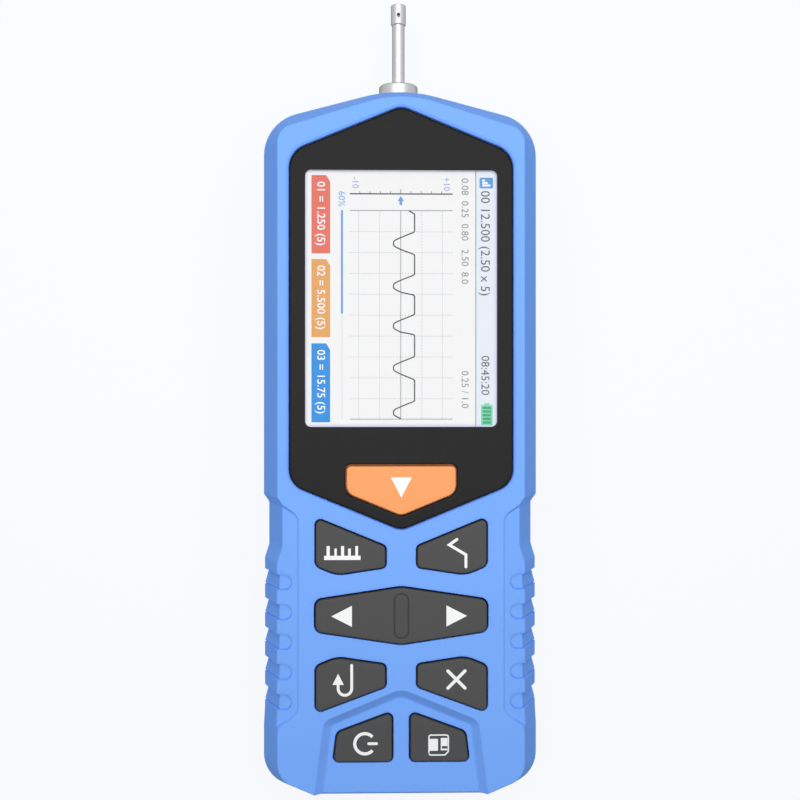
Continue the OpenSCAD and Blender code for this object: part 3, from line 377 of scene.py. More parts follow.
plate_recess = loft(stacked(plate_points, [3.0] * 4, [(0.6, -0.3), (0.3, 0.0), (0.0, plate_d)]))
carve(rear_case, blank("rear_case_cutters", joined(hole, plate_recess, *wells)), "DIFFERENCE")
finished(rear_case, case_blue, "case", ["rear_case"])

# Front case: the cover that carries the window, the display and the keys, moulded in the
# same blue ABS. Its walls lean in by 20 degrees, its sides have sloped grip facets with a
# waist and five finger notches each, and the two lower keys sit in a lowered step.
slant = radians(22.4)
panel_half_w = 25.0
panel_top_y = face_end - 2.2
panel_low_y = panel_top_y - 94.6
panel_end = panel_half_w * tan(slant)
panel_points = both_sides([(panel_half_w, panel_low_y + panel_end),
                           (panel_half_w, panel_top_y - panel_end)],
                          [(0, panel_top_y)], [(0, panel_low_y)])
panel_radii = [5.0, 5.4, 4.2, 5.4, 5.0, 4.2]
panel_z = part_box("window_panel")[0].z / MM
panel_top_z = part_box("window_panel")[1].z / MM
shelf_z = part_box("lcd_module")[1].z / MM
roof_t = 2.0
roof_z = face_z - roof_t
screen_half_w = 21.6
screen_half_l = 28.8
screen_y = panel_top_y - 42.7
screen_points = both_sides([(screen_half_w, screen_y - screen_half_l),
                            (screen_half_w, screen_y + screen_half_l)])
screen_radii = [1.3] * 4

keys_y = -face_end + 40.45
rocker_half_w = 19.4
rocker_half_h = 6.65
rocker_slope = tan(radians(8.5))
rocker_end = rocker_half_h - rocker_half_w * rocker_slope
start_low_y = panel_low_y + 3.0
start_half_w = 12.55
start_high_y = panel_low_y + 14.75
side_in, side_out, side_cut = 3.2, 19.3, 14.3
row_gap = 4.3


def row_edge(x):
    """Where the row above the arrows begins, beside their slanted edge."""
    return keys_y + rocker_half_h - x * rocker_slope + row_gap


side_low_y = row_edge(side_in) + 5.1


def side_key(slope, longer=0.0):
    """The outline of a key right of the middle and above the arrows, with a slanted upper edge."""
    end_y = side_low_y + longer
    return [(side_in, row_edge(side_in)), (side_cut, row_edge(side_cut)),
            (side_out, row_edge(side_cut) + (side_out - side_cut) * tan(slant)),
            (side_out, end_y + (side_out - side_in) * tan(slope)), (side_in, end_y)]


low_slant = radians(20.3)
side_right = side_key(slant)
below_right = side_key(low_slant, 0.3)
low_row_drop = 0.1
side_radii = [1.4, 7.0, 2.0, 1.4, 1.4]
step_lean = tan(radians(7.2))
low_in, low_out = 1.7, 14.6
low_y = -face_end + 7.3
low_high_y = low_y + 11.8
low_side_y = low_high_y - (low_out - low_in) * tan(low_slant)
low_right = [(low_in, low_y), (low_out + (low_side_y - low_y) * step_lean, low_y), (low_out, low_side_y),
             (low_in, low_high_y)]
low_radii = [1.4, 1.4, 2.0, 1.4]


def mirrored(points):
    """An outline on the other side of X = 0."""
    return [(-x, y) for x, y in reversed(points)]


def turned_over(points):
    """An outline above the arrows, turned over to lie below them."""
    return [(x, 2 * keys_y - y - low_row_drop) for x, y in reversed(points)]


def backwards(values):
    """A list from its end."""
    return list(reversed(values))


step_d = 1.8
step_floor_z = face_z - step_d
step_under_z = step_floor_z - roof_t
start_outline = both_sides([(start_half_w, start_low_y + start_half_w * tan(slant)),
                            (start_half_w, start_high_y)], [], [(0, start_low_y)])
rocker_outline = [(x, y + keys_y) for x, y in both_sides(
    [(rocker_half_w, -rocker_end), (rocker_half_w, rocker_end)], [(0, rocker_half_h)], [(0, -rocker_half_h)])]

# Each key's opening: its outline, its corner radii, and the heights of its rim and of the flange's seat
key_openings = {
    "start_key": (start_outline, [3.0, 1.4, 1.4, 3.0, 3.0], panel_top_z, shelf_z),
    "parameter_key": (side_right, side_radii, face_z, roof_z),
    "scale_key": (mirrored(side_right), backwards(side_radii), face_z, roof_z),
    "escape_key": (turned_over(below_right), backwards(side_radii), face_z, roof_z),
    "enter_key": (mirrored(turned_over(below_right)), side_radii, face_z, roof_z),
    "arrow_rocker": (rocker_outline, [2.0, 2.0, 8.0, 2.0, 2.0, 8.0], face_z, roof_z),
    "save_key": (low_right, low_radii, step_floor_z, step_under_z),
    "power_key": (mirrored(low_right), backwards(low_radii), step_floor_z, step_under_z),
}

step_top_y = -face_end + 24.2
step_half_w = 17.25
step_slope = 0.92
step_side_y = step_top_y - step_half_w * tan(slant)
step_end_y = -case_half_l - 4
step_points = both_sides([(step_half_w + (step_side_y - step_end_y) * step_lean, step_end_y),
                          (step_half_w, step_side_y)], [(0, step_top_y)])
step_radii = [0.5, 3.0, 5.0, 3.0, 0.5]
step_blend, step_ridge_h, step_ridge_half = 0.3, 0.05, 0.25

grip_x = 22.6
grip_low_y = -face_end + 18.6
grip_top_y = grip_low_y + 44.0
grip_far = case_half_w + 3
grip_rise = (grip_far - grip_x) * tan(radians(34))
grip_points = [(grip_x, grip_low_y), (grip_far, grip_low_y - grip_rise), (grip_far, grip_top_y + grip_rise),
               (grip_x, grip_top_y)]
grip_radii = [3.0, 0.5, 0.5, 3.0]
grip_step = 0.25
grip_slope = tan(radians(11))
grip_bevel = 0.55
waist_top_y = grip_top_y + 2.1
waist_low_y = waist_top_y - 9.0
beside_x = 20
first_notch_y, notch_pitch = grip_low_y + 2.5, 6.67
notch_places = [first_notch_y + notch_pitch * i for i in range(5)]
notch_half, notch_reach = 1.65, 4
notch_in_x = 24.4
notch_d = 0.3
notch_edge_d = 0.65
notch_rim_d = 0.95
notch_wall = 0.08
groove_d = 0.36
groove_half = 0.17
waist_ys = [grip_low_y - 5.0, grip_low_y - 0.6, waist_low_y - 3.6, waist_low_y, waist_top_y,
            waist_top_y + 2.0]
waist_ds = [0.0, 0.25, 0.25, 1.38, 1.38, 0.0]
panel_bevel_w, panel_bevel_d = 0.6, 0.45
edge_blend = 0.35
opening_lip_r = 0.25
on_rim = 0.015


def distance_to(outline, at):
    """Signed distance from points to a closed outline, negative inside it."""
    a = np.array(outline)
    b = np.roll(a, -1, axis=0)
    keep = np.hypot(*(b - a).T) > 1e-9
    a, b = a[keep], b[keep]
    edge = b - a
    away = at[:, None, :] - a[None]
    share = np.clip((away * edge).sum(2) / (edge * edge).sum(1), 0, 1)
    gap = np.sqrt(((away - share[..., None] * edge) ** 2).sum(2).min(1))
    level = at[:, 1][:, None]
    crosses = (a[:, 1] <= level) != (b[:, 1] <= level)
    rise = np.where(edge[:, 1] == 0, 1, edge[:, 1])
    left = at[:, 0][:, None] < a[:, 0] + (level - a[:, 1]) * edge[:, 0] / rise
    inside = (crosses & left).sum(1) % 2 == 1
    return np.where(inside, -gap, gap)


def eased(share):
    """A share from 0 to 1 that starts and ends softly."""
    t = np.clip(share, 0, 1)
    return t * t * (3 - 2 * t)


def soft_min(a, b, blend):
    """The lower of two heights, with their crease rounded."""
    h = np.clip(0.5 + 0.5 * (b - a) / blend, 0, 1)
    return b + (a - b) * h - blend * h * (1 - h)


def case_outline(out):
    """The case's outline on the leaning wall: the face's edge at 0, the parting line at the full draft."""
    share = max(out, 0.0) / side_draft
    points = [Vector(a).lerp(Vector(b), share) for a, b in zip(face_points, rim_points)]
    radii = [a + (b - a) * share for a, b in zip(face_radii, rim_radii)]
    return rounded(points, radii, min(out, 0.0))


wall_levels = np.linspace(0, side_draft, 5)
wall_outlines = [case_outline(out) for out in wall_levels]


def beyond_face(at):
    """How far points lie outside the face's edge, where the parting line is the full draft away."""
    gaps = [distance_to(outline, at) for outline in wall_outlines]
    out = np.where(gaps[0] < 0, gaps[0], side_draft + gaps[-1])
    for k in range(len(gaps) - 1):
        here = (gaps[k] >= 0) & (gaps[k + 1] < 0)
        share = gaps[k] / np.maximum(gaps[k] - gaps[k + 1], 1e-9)
        out = np.where(here, wall_levels[k] + share * (wall_levels[k + 1] - wall_levels[k]), out)
    return out


def side_shift(y, out):
    """How far the waist and the finger notches cut into the side walls at a height Y."""
    shift = np.interp(y, waist_ys, waist_ds)
    down = np.clip(out / side_draft, 0, 1)
    for middle in notch_places:
        rise = np.clip((y - middle + notch_half) / (2 * notch_half), 0, 1)
        depth = notch_edge_d * (1 - down) + notch_rim_d * rise * down
        inside = np.clip((notch_half + notch_wall - np.abs(y - middle)) / (2 * notch_wall), 0, 1)
        groove = groove_d * np.clip(1 - np.abs(y - middle + notch_half) / groove_half, 0, 1)
        shift = shift + depth * inside + groove
    return shift


def waisted(at):
    """How far down the leaning wall points of the cover lie, with the waist and notches taken off."""
    flat = beyond_face(at)
    beside = np.abs(at[:, 0]) > beside_x
    cut = flat
    for _ in range(4):
        cut = flat + np.where(beside, side_shift(at[:, 1], cut), 0)
    return cut


def notch_outline(middle, out):
    """A finger notch seen from the front: a round inner end that runs out past the side."""
    r = notch_half + out
    arc = [(notch_in_x + notch_half - r * cos(a), middle + r * sin(a))
           for a in np.linspace(-pi / 2, pi / 2, 21)]
    return [(grip_far, middle - r)] + arc + [(grip_far, middle + r)]


face_outline = case_outline(0.0)
panel_outline = rounded(panel_points, panel_radii)
step_outline = rounded(step_points, step_radii)
grip_outline = rounded(grip_points, grip_radii)
shelf_window = rounded(screen_points, screen_radii, 0.5)
opening_outlines = {key: rounded(points, radii) for key, (points, radii, _, _) in key_openings.items()}
shelf_out, step_shelf_out = 1.5, 0.6
shelf_outline = rounded(panel_points, panel_radii, shelf_out)
step_shelf_outline = rounded(step_points, step_radii, step_shelf_out)


def face_height(at):
    """Height of the face without its edges and openings: the step, the grip facets and notches."""
    folded = np.column_stack([np.abs(at[:, 0]), at[:, 1]])
    into_grip = -distance_to(grip_outline, folded)
    on_grip = eased(into_grip / grip_bevel)
    drop = (grip_step + np.maximum(folded[:, 0] - grip_x, 0) * grip_slope) * on_grip
    for middle in notch_places:
        near = np.abs(at[:, 1] - middle) < notch_reach
        if near.any():
            into = -distance_to(notch_outline(middle, 0), folded[near])
            above = (at[near, 1] - middle) / notch_half
            groove = groove_d * np.clip(1 - np.abs(into) / groove_half, 0, 1) * np.clip(-2 * above, 0, 1)
            wall = notch_wall + (2 * groove_half - notch_wall) * np.clip(above, 0, 1)
            drop[near] += notch_d * np.clip((into + wall) / (2 * wall), 0, 1) + groove
    into_step = -distance_to(step_outline, at)
    step = soft_min(np.maximum(into_step, 0) * step_slope, np.full(len(at), step_d), step_blend)
    ridge = step_ridge_h * eased(1 - np.abs(into_step) / step_ridge_half)
    step = np.where(into_step > -0.2, np.maximum(step, 0) - ridge, step)
    return face_z - drop - np.maximum(step, 0)


def under_height(at):
    """Height of the cover's inner side: rim, inner wall, roof and the two lowered shelves."""
    out = beyond_face(at)
    z = np.minimum(parting_z + np.maximum(side_draft - wall_t - out, 0) / draft_rate, roof_z)
    z = np.where(distance_to(shelf_outline, at) < 0, np.minimum(z, shelf_z), z)
    return np.where(distance_to(step_shelf_outline, at) < 0, np.minimum(z, step_under_z), z)


def lip(out, r):
    """Drop of a rounded edge at a distance from it."""
    near = np.clip(r - out, 0, r)
    return r - np.sqrt(r * r - near * near)


def cover_height(at):
    """Height of the cover's outer side."""
    top = face_height(at)
    cut = waisted(at)
    sill = (face_z - top) * draft_rate * (1 - np.clip(cut / side_draft, 0, 1))
    cut = cut + np.where(at[:, 1] < foot_y + 0.6, sill, 0)
    z = soft_min(top, face_z - cut / draft_rate, edge_blend)
    from_panel = distance_to(panel_outline, at)
    bevel = panel_bevel_d * np.clip(1 - from_panel / panel_bevel_w, 0, 1)
    z = np.where(from_panel > 0, z - bevel, z)
    z = np.where(from_panel < -on_rim, panel_z, z)
    for key, outline in opening_outlines.items():
        gap = distance_to(outline, at)
        if key != "start_key":
            z = np.where((gap > 0) & (gap < 1), z - lip(gap, opening_lip_r), z)
        z = np.where(gap < -on_rim, key_openings[key][3], z)
    return np.where(distance_to(shelf_window, at) < -on_rim, shelf_z, z)


side_marks = list(np.arange(corner_y + 3, shoulder_y - 2, 2.0))
notch_lines = (-2 * groove_half, -groove_half, -notch_wall, 0.0, notch_wall, groove_half, 2 * groove_half)
for middle in notch_places:
    side_marks += [middle + s * (notch_half + o) for s in (-1, 1) for o in notch_lines] + [middle]
side_marks += [y + o for y in waist_ys for o in (-0.3, 0.0, 0.3)]
side_marks = np.array(sorted(side_marks))
straight_side_l, long_edge_l, edge_part_l = 40, 2.5, 1.6


def perimeter(out, follow_top):
    """A ring round the cover, cut in by the waist and notches, that may follow the face's edge down."""
    outline = case_outline(out)
    ring = []
    for i, (x, y) in enumerate(outline):
        nx, ny = outline[(i + 1) % len(outline)]
        ring.append((x, y))
        length = np.hypot(nx - x, ny - y)
        if abs(nx - x) < 1e-3 and length > straight_side_l:
            between = [m for m in side_marks if min(y, ny) + 0.2 < m < max(y, ny) - 0.2]
            ring += [(x, m) for m in (between if ny > y else reversed(between))]
        elif length > long_edge_l:
            parts = int(length / edge_part_l)
            ring += [(x + (nx - x) * k / parts, y + (ny - y) * k / parts) for k in range(1, parts)]
    at = np.array(ring)
    sign = np.sign(at[:, 0])
    beside = np.abs(at[:, 0]) > beside_x
    at[:, 0] -= np.where(beside, sign * side_shift(at[:, 1], out), 0)
    if follow_top:
        spread = (face_z - face_height(at)) * draft_rate
        at[:, 0] += np.where(beside & (at[:, 1] > corner_y), sign * spread, 0)
    return [tuple(p) for p in at]


class Sheet:
    """Points and lines of a flat net, which is then meshed and lifted to a height at each point."""

    def __init__(self):
        self.points = []
        self.lines = []

    def closed(self, outline):
        start = len(self.points)
        self.points += [Vector(p) for p in outline]
        count = len(outline)
        self.lines += [(start + i, start + (i + 1) % count) for i in range(count)]

    def open(self, outline, keep):
        """A line of which only the points that are kept are drawn."""
        last = None
        for p, wanted in zip(outline, keep):
            if wanted:
                self.points.append(Vector(p))
                if last is not None:
                    self.lines.append((last, len(self.points) - 1))
                last = len(self.points) - 1
            else:
                last = None

    def meshed(self, border, holes):
        """Points and triangles inside the border and outside the holes."""
        points, _, triangles, _, _, _ = delaunay_2d_cdt(self.points, self.lines, [], 0, 1e-5, False)
        at = np.array([tuple(p) for p in points])
        triangles = np.array(triangles)
        a, b, c = at[triangles].transpose(1, 0, 2)
        turn = (b - a)[:, 0] * (c - a)[:, 1] - (b - a)[:, 1] * (c - a)[:, 0]
        triangles[turn < 0] = triangles[turn < 0][:, ::-1]
        middle = at[triangles].mean(1)
        wanted = distance_to(border, middle) < -1e-6
        for hole in holes:
            wanted &= distance_to(hole, middle) > 1e-6
        return at, triangles[wanted]


def border_loops(triangles):
    """The rims of a net, as closed runs of point numbers."""
    edges = {(t[i], t[(i + 1) % 3]) for t in triangles for i in range(3)}
    following = {}
    for a, b in edges:
        if (b, a) not in edges:
            following.setdefault(a, []).append(b)
    loops = []
    while following:
        first = next(iter(following))
        loop = [first]
        at = first
        while True:
            steps = following[at]
            goes = steps.pop()
            if not steps:
                del following[at]
            if goes == first:
                break
            loop.append(goes)
            at = goes
        loops.append(loop)
    return loops


cover = Sheet()
edge_outs = [-0.7, -0.42, -0.26, -0.14, -0.05, 0.05, 0.14, 0.26, 0.42, 0.7]
for out in edge_outs:
    cover.closed(perimeter(out, True))
for out in (0.98, 2.9, side_draft - 0.2):
    cover.closed(perimeter(out, False))
cover_border = perimeter(side_draft - 0.06, False)
cover.closed(cover_border)
for out in (0.9, 0.62, 0.58, 0.3, 0.02, 0.0, -0.03):
    cover.closed(rounded(panel_points, panel_radii, out))
screen_hole = rounded(screen_points, screen_radii, 0.47)
cover.closed(shelf_window)
cover.closed(screen_hole)
holes = [screen_hole]
for key, (points, radii, _, _) in key_openings.items():
    outs = (0.0,) if key == "start_key" else (0.6, 0.25, 0.14, 0.06, 0.0)
    for out in outs:
        cover.closed(rounded(points, radii, out))
    holes.append(rounded(points, radii, -0.03))
    cover.closed(holes[-1])


def spaced(outline, gap):
    """An open or closed line with points no further apart than the gap."""
    line = []
    for (x, y), (nx, ny) in zip(outline, outline[1:]):
        parts = max(1, int(np.hypot(nx - x, ny - y) / gap))
        line += [(x + (nx - x) * k / parts, y + (ny - y) * k / parts) for k in range(parts)]
    return line + [outline[-1]]


def on_cover(line):
    """Which points of a line lie inside the cover's border."""
    return waisted(np.array(line)) < side_draft - 0.24


for out in (0.3, 0.15, 0.0, -0.15, -0.4, -0.9, -1.4, -1.62, -1.8, -2.0, -2.3):
    line = spaced(rounded(step_points, step_radii, out), 0.9)
    cover.open(line, on_cover(line))
for side in (-1, 1):
    for out in (0.15, 0.0, -0.1, -0.2, -0.28, -0.36, -0.46, -grip_bevel, -0.75):
        loop = rounded(grip_points, grip_radii, out)
        line = [(side * x, y) for x, y in spaced(loop + loop[:1], 0.9)]
        cover.open(line, on_cover(line))
    for middle in notch_places:
        for out in notch_lines:
            line = [(side * x, y) for x, y in spaced(notch_outline(middle, out), 0.4)]
            cover.open(line, on_cover(line))

socket_z = (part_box("charging_socket")[0].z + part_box("charging_socket")[1].z) / 2 / MM
socket_half_h = 1.9
socket_half_w = 4.8
socket_steps = 32


def stadium(half_w, half_h, steps, phase=0.0):
    """A round-ended ring about the charging socket's middle, as (x, z) points."""
    ring = []
    for k in range(steps):
        a = 2 * pi * (k + phase) / steps
        flat = (half_w - half_h) * (1 if cos(a) > 0 else -1)
        ring.append((flat + half_h * cos(a), socket_z + half_h * sin(a)))
    return ring


socket_hole = stadium(socket_half_w, socket_half_h, socket_steps)
end_reach = (foot_y - rim_foot_y) / side_draft
sill_out = step_d * draft_rate
socket_mouth, socket_back = [], []
for x, z in socket_hole:
    mouth_out = ((face_z - z) * draft_rate - sill_out) / (1 - sill_out / side_draft)
    back_out = side_draft - wall_t - (z - parting_z) * draft_rate
    socket_mouth.append((x, foot_y - mouth_out * end_reach))
    socket_back.append((x, foot_y - back_out * (end_reach if back_out > 0 else 1.0)))
cover.closed(socket_mouth)
holes.append(socket_mouth)
cover_at, cover_triangles = cover.meshed(cover_border, holes)
cover_z = cover_height(cover_at)

lining = Sheet()
rims = border_loops(cover_triangles)
lining_border = None
lining_holes = []
mouth_middle = np.array(socket_mouth).mean(0)
longest_hole = 150
for rim_loop in rims:
    outline = [tuple(cover_at[i]) for i in rim_loop]
    middle = np.array(outline).mean(0)
    if np.hypot(*(middle - mouth_middle)) < 0.5 and len(outline) < 2 * socket_steps:
        continue
    lining.closed(outline)
    if np.ptp(np.array(outline)[:, 1]) > longest_hole:
        lining_border = outline
    else:
        lining_holes.append(outline)
wall_in = side_draft - wall_t
lining.closed(perimeter(side_draft - 0.25, False))
for out in (wall_in + 0.02, wall_in, wall_in - (shelf_z - parting_z) * draft_rate,
            wall_in - (roof_z - parting_z) * draft_rate):
    lining.closed(case_outline(out))
for points, radii, out in ((panel_points, panel_radii, shelf_out), (step_points, step_radii, step_shelf_out)):
    for small in (-0.02, 0.02):
        line = spaced(rounded(points, radii, out + small), 2.0)
        line.append(line[0])
        at = np.array(line)
        lining.open(line, distance_to(face_outline, at) < 0.6)
lining.closed(socket_back)
lining_holes.append(socket_back)
lining_at, lining_triangles = lining.meshed(lining_border, lining_holes)
lining_z = under_height(lining_at)
rim_heights = {(round(cover_at[i][0], 4), round(cover_at[i][1], 4)): cover_z[i]
               for loop in rims for i in loop}
for i, (x, y) in enumerate(lining_at):
    key = (round(x, 4), round(y, 4))
    if key in rim_heights:
        lining_z[i] = rim_heights[key]

cover_corners = [(x, y, z) for (x, y), z in zip(cover_at, cover_z)]
lining_corners = [(x, y, z) for (x, y), z in zip(lining_at, lining_z)]
start = len(cover_corners)
faces = [tuple(int(i) for i in t) for t in cover_triangles]
faces += [tuple(start + int(i) for i in reversed(t)) for t in lining_triangles]
corners = cover_corners + lining_corners
tunnel = len(corners)
corners += [(x, y, z) for (x, y), (_, z) in zip(socket_mouth, socket_hole)]
corners += [(x, y, z) for (x, y), (_, z) in zip(socket_back, socket_hole)]
for i in range(socket_steps):
    j = (i + 1) % socket_steps
    faces.append((tunnel + i, tunnel + j, tunnel + socket_steps + j, tunnel + socket_steps + i))
hinge_z = roof_z - 1.4
hinge_r = 0.8
ear_r, ear_t, ear_bore_r = 1.6, 1.5, hinge_r + 0.06
ears_low, ears_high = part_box("arrow_rocker")[0].y / MM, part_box("arrow_rocker")[1].y / MM
posts = []
for begin, end in ((ears_low, ears_low + ear_t), (ears_high - ear_t, ears_high)):
    ear_profile = [(ear_bore_r, begin), (ear_r, begin), (ear_r, end), (ear_bore_r, end)]
    posts.append(turned(ear_profile, (0.0, hinge_z), "y", 32, True))


def post(place, r, low_z, roof, bore_r, bore_top_z, steps):
    """A post under the roof, sunk a little into it, with a blind bore for a screw."""
    top_z = roof + 0.2
    profile = [(bore_r, low_z), (r, low_z), (r, top_z)]
    profile += [(0.05, top_z), (0.05, bore_top_z), (bore_r, bore_top_z)]
    return turned(profile, place, steps=steps, hollow=True)


case_post_r, case_post_bore_r, board_post_r, board_post_bore_r = 2.8, 1.55, 2.4, 1.15
for p in screw_places:
    posts.append(post(p, case_post_r, parting_z + 0.1, roof_z, case_post_bore_r, screws_high.z + 0.5, 48))
board_screws_high = box_mm("board_screws")[1]
board_screw_r = 1.9
board_screw_x = board_screws_high.x - board_screw_r
board_top_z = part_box("main_board")[1].z / MM
board_posts = [((0.0, board_screws_high.y - board_screw_r), shelf_z)]
for s in (-1, 1):
    board_posts += [((s * board_screw_x, y), roof_z) for y in (grip_top_y + 4.6, grip_low_y + 3.4)]
for p, roof in board_posts:
    posts.append(post(p, board_post_r, board_top_z, roof, board_post_bore_r, board_screws_high.z, 32))
front_case = blank("front_case_cover", joined((corners, faces), *posts))
finished(front_case, case_blue, "case", ["front_case"])

# Window panel: one sheet of hard-coated clear plastic, printed black on its back except
# for the display's window, and bonded to the shelf round the display. The start key
# comes up through an opening near its lower point.
window_black = moulded("window_black_print", shade(29, 29, 30), roughness=0.3, grain_scale=500.0, relief=0.02,
                       drift=0.03, specular=0.06)


def plate(outline_at, hole_list, levels):
    """A flat plate with openings: (out, z) levels from its lower rim to its upper rim."""
    corners, faces = [], []
    rims = [[outline_at(out) for out, _ in levels]]
    rims += [[hole(out) for out, _ in levels] for hole in hole_list]
    for rings in rims:
        solid = loft([[(x, y, z) for x, y in ring] for ring, (_, z) in zip(rings, levels)], False, False)
        corners, faces = joined((corners, faces), solid)
    for which in (0, -1):
        net = Sheet()
        for rings in rims:
            net.closed(rings[which])
        at, triangles = net.meshed(rims[0][which], [rings[which] for rings in rims[1:]])
        flat = [(x, y, levels[which][1]) for x, y in at]
        corners, faces = joined((corners, faces), (flat, [tuple(map(int, t)) for t in triangles]))
    return corners, faces


panel_levels = [(0.0, panel_z), (0.0, panel_top_z - 0.2), (-0.06, panel_top_z - 0.06), (-0.2, panel_top_z),
                (-0.45, panel_top_z)]
panel_gap = 0.08
window_half_w, window_top_y = screen_half_w - 0.2, screen_y + screen_half_l - 0.4
window_points = both_sides([(window_half_w, screen_y - screen_half_l), (window_half_w, window_top_y)])
start_points, start_radii = key_openings["start_key"][:2]
window_plate = blank("window_panel_print", plate(
    lambda out: rounded(panel_points, panel_radii, out - panel_gap),
    [lambda out: rounded(start_points, start_radii, -out),
     lambda out: rounded(window_points, screen_radii)], panel_levels))
finished(window_plate, window_black, "case", ["window_panel"])

window_clear, clear_tree, clear_shader, clear_finish = with_effect(
    "window_clear_plastic", moulded_finish, Colour=(0.97, 0.98, 1.0, 1.0), Drift=0.01, Grain_Scale=300.0,
    Roughness=0.03, Gloss_Drift=0.02)
clear_tree.links.new(clear_finish.outputs["Colour"], clear_shader.inputs["Base Color"])
clear_shader.inputs["Transmission Weight"].default_value = 1.0
clear_shader.inputs["IOR"].default_value = 1.05
clear_shader.inputs["Specular Tint"].default_value = (0.0, 0.0, 0.0, 1.0)
pane_gap, pane_t = 0.02, 0.5
pane_levels = [(-pane_gap, panel_top_z - pane_t), (-pane_gap, panel_top_z - pane_gap)]
window_pane = blank("window_pane", loft(stacked(window_points, screen_radii, pane_levels)))
finished(window_pane, window_clear, "case")

# Display: a colour liquid crystal module in a metal-edged tray, clipped under the shelf.
# The picture is a measured profile with its scale, three result fields and a status bar,
# made of thin lit shapes on the module's white face.
lcd_low, lcd_high = box_mm("lcd_module")
painted_shade_w = 0.9


def lit(name, colour, painted_shade_colour=None):
    """A lit picture element, with the panel's soft unevenness and, where given, painted shade along the
    screen's edges.
    """
    material, tree, shader, finish = with_effect(
        name, moulded_finish, Colour=colour, Drift=0.02, Grain_Scale=4000.0, Roughness=0.4, Gloss_Drift=0.05)
    # Painted shade: near the screen's edges the colour fades to a darker lavender, in place of the frame's
    # shadow
    if painted_shade_colour:
        place = add_node(tree, "ShaderNodeTexCoord")
        centred = add_node(tree, "ShaderNodeVectorMath", operation="SUBTRACT")
        centred.inputs[1].default_value = (0.0, screen_y * MM, 0.0)
        folded = add_node(tree, "ShaderNodeVectorMath", operation="ABSOLUTE")
        inward = add_node(tree, "ShaderNodeVectorMath", operation="SUBTRACT")
        inward.inputs[0].default_value = (screen_half_w * MM, screen_half_l * MM, 0.0)
        split = add_node(tree, "ShaderNodeSeparateXYZ")
        nearest = add_node(tree, "ShaderNodeMath", operation="MINIMUM")
        painted_shade_fall = add_node(tree, "ShaderNodeMapRange", interpolation_type="SMOOTHSTEP", From_Max=painted_shade_w * MM)
        painted_shade_mix = add_node(tree, "ShaderNodeMix", data_type="RGBA")
        painted_shade_mix.inputs[6].default_value = painted_shade_colour
        painted_shade_mix.inputs[7].default_value = colour
        wire(tree, (place.outputs["Object"], centred.inputs[0]), (centred.outputs[0], folded.inputs[0]),
             (folded.outputs[0], inward.inputs[1]), (inward.outputs[0], split.inputs[0]),
             (split.outputs["X"], nearest.inputs[0]), (split.outputs["Y"], nearest.inputs[1]),
             (nearest.outputs[0], painted_shade_fall.inputs["Value"]), (painted_shade_fall.outputs[0], painted_shade_mix.inputs[0]),
             (painted_shade_mix.outputs[2], finish.inputs["Colour"]))
    shader.inputs["Base Color"].default_value = (0.02, 0.02, 0.02, 1.0)
    shader.inputs["Specular IOR Level"].default_value = 0.1
    tree.links.new(finish.outputs["Colour"], shader.inputs["Emission Color"])
    shader.inputs["Emission Strength"].default_value = 1.0
    return material


# Painted shade: the darker lavender that the screen and status bar fade to at the screen's edges, for the
# frame's shadow
screen_painted_shade = shade(206, 210, 232)
screen_white = lit("display_white", shade(242, 241, 240), screen_painted_shade)


def rectangle(left, low, right, high):
    """Four corners, from the lower right one upwards."""
    return [(right, low), (right, high), (left, high), (left, low)]


lcd_points = rectangle(lcd_low.x, lcd_low.y, lcd_high.x, lcd_high.y)
lcd_edge = 0.2
lcd_steps = [(-lcd_edge, lcd_low.z), (0, lcd_low.z + lcd_edge), (0, lcd_high.z - lcd_edge),
             (-lcd_edge, lcd_high.z)]
lcd_panel = blank("lcd_panel", loft(stacked(lcd_points, [1.0] * 4, lcd_steps)))
finished(lcd_panel, screen_white, "case", ["lcd_module"])

screen_left_y = screen_y + screen_half_l


def on_screen(across, down):
    """A place on the picture as it is read, from its upper left corner, in millimetres."""
    return (screen_half_w - down, screen_left_y - across)


def slabs(outlines, low, high):
    """Thin flat shapes between two heights."""
    return joined(*[loft([[(x, y, z) for x, y in outline] for z in (low, high)]) for outline in outlines])


def field(left, top, right, bottom):
    """A rectangle on the picture."""
    return [on_screen(left, bottom), on_screen(right, bottom), on_screen(right, top), on_screen(left, top)]


def stroke(points, width, round_ends=False):
    """The outline of a line of that width through the points, with mitred corners."""
    left, right, arms = [], [], []
    for i, p in enumerate(points):
        here = Vector(p)
        came = (here - Vector(points[i - 1])).normalized() if i else None
        goes = (Vector(points[i + 1]) - here).normalized() if i + 1 < len(points) else None
        came, goes = came or goes, goes or came
        a, b = Vector((-came.y, came.x)), Vector((-goes.y, goes.x))
        arm = (a + b) * (width / 2 / max(1 + a.dot(b), 0.3))
        arms.append(arm)
        left.append(tuple(here + arm))
        right.append(tuple(here - arm))
    if not round_ends:
        return right + backwards(left)
    swings = np.linspace(0, pi, 9)[1:-1]
    end = [tuple(Vector(points[-1]) + Matrix.Rotation(a - pi, 2) @ arms[-1]) for a in swings]
    begin = [tuple(Vector(points[0]) + Matrix.Rotation(a, 2) @ arms[0]) for a in swings]
    return right + end + backwards(left) + begin


def figures(text, size, across, down, z, bold=0.0):
    """Plain figures on the picture, as a thin solid, with their lower left corner at that place."""
    curve = bpy.data.curves.new("figures", "FONT")
    curve.body = text
    curve.size = size
    curve.extrude = 0.01
    curve.offset = bold
    curve.resolution_u = 3
    sign = bpy.data.objects.new("figures", curve)
    bpy.context.scene.collection.objects.link(sign)
    bpy.context.view_layer.update()
    mesh = sign.evaluated_get(bpy.context.evaluated_depsgraph_get()).to_mesh()
    x0, y0 = on_screen(across, down)
    corners = [(x0 + v.co.y, y0 - v.co.x, z + v.co.z) for v in mesh.vertices]
    faces = [tuple(p.vertices) for p in mesh.polygons]
    bpy.data.objects.remove(sign)
    return corners, faces


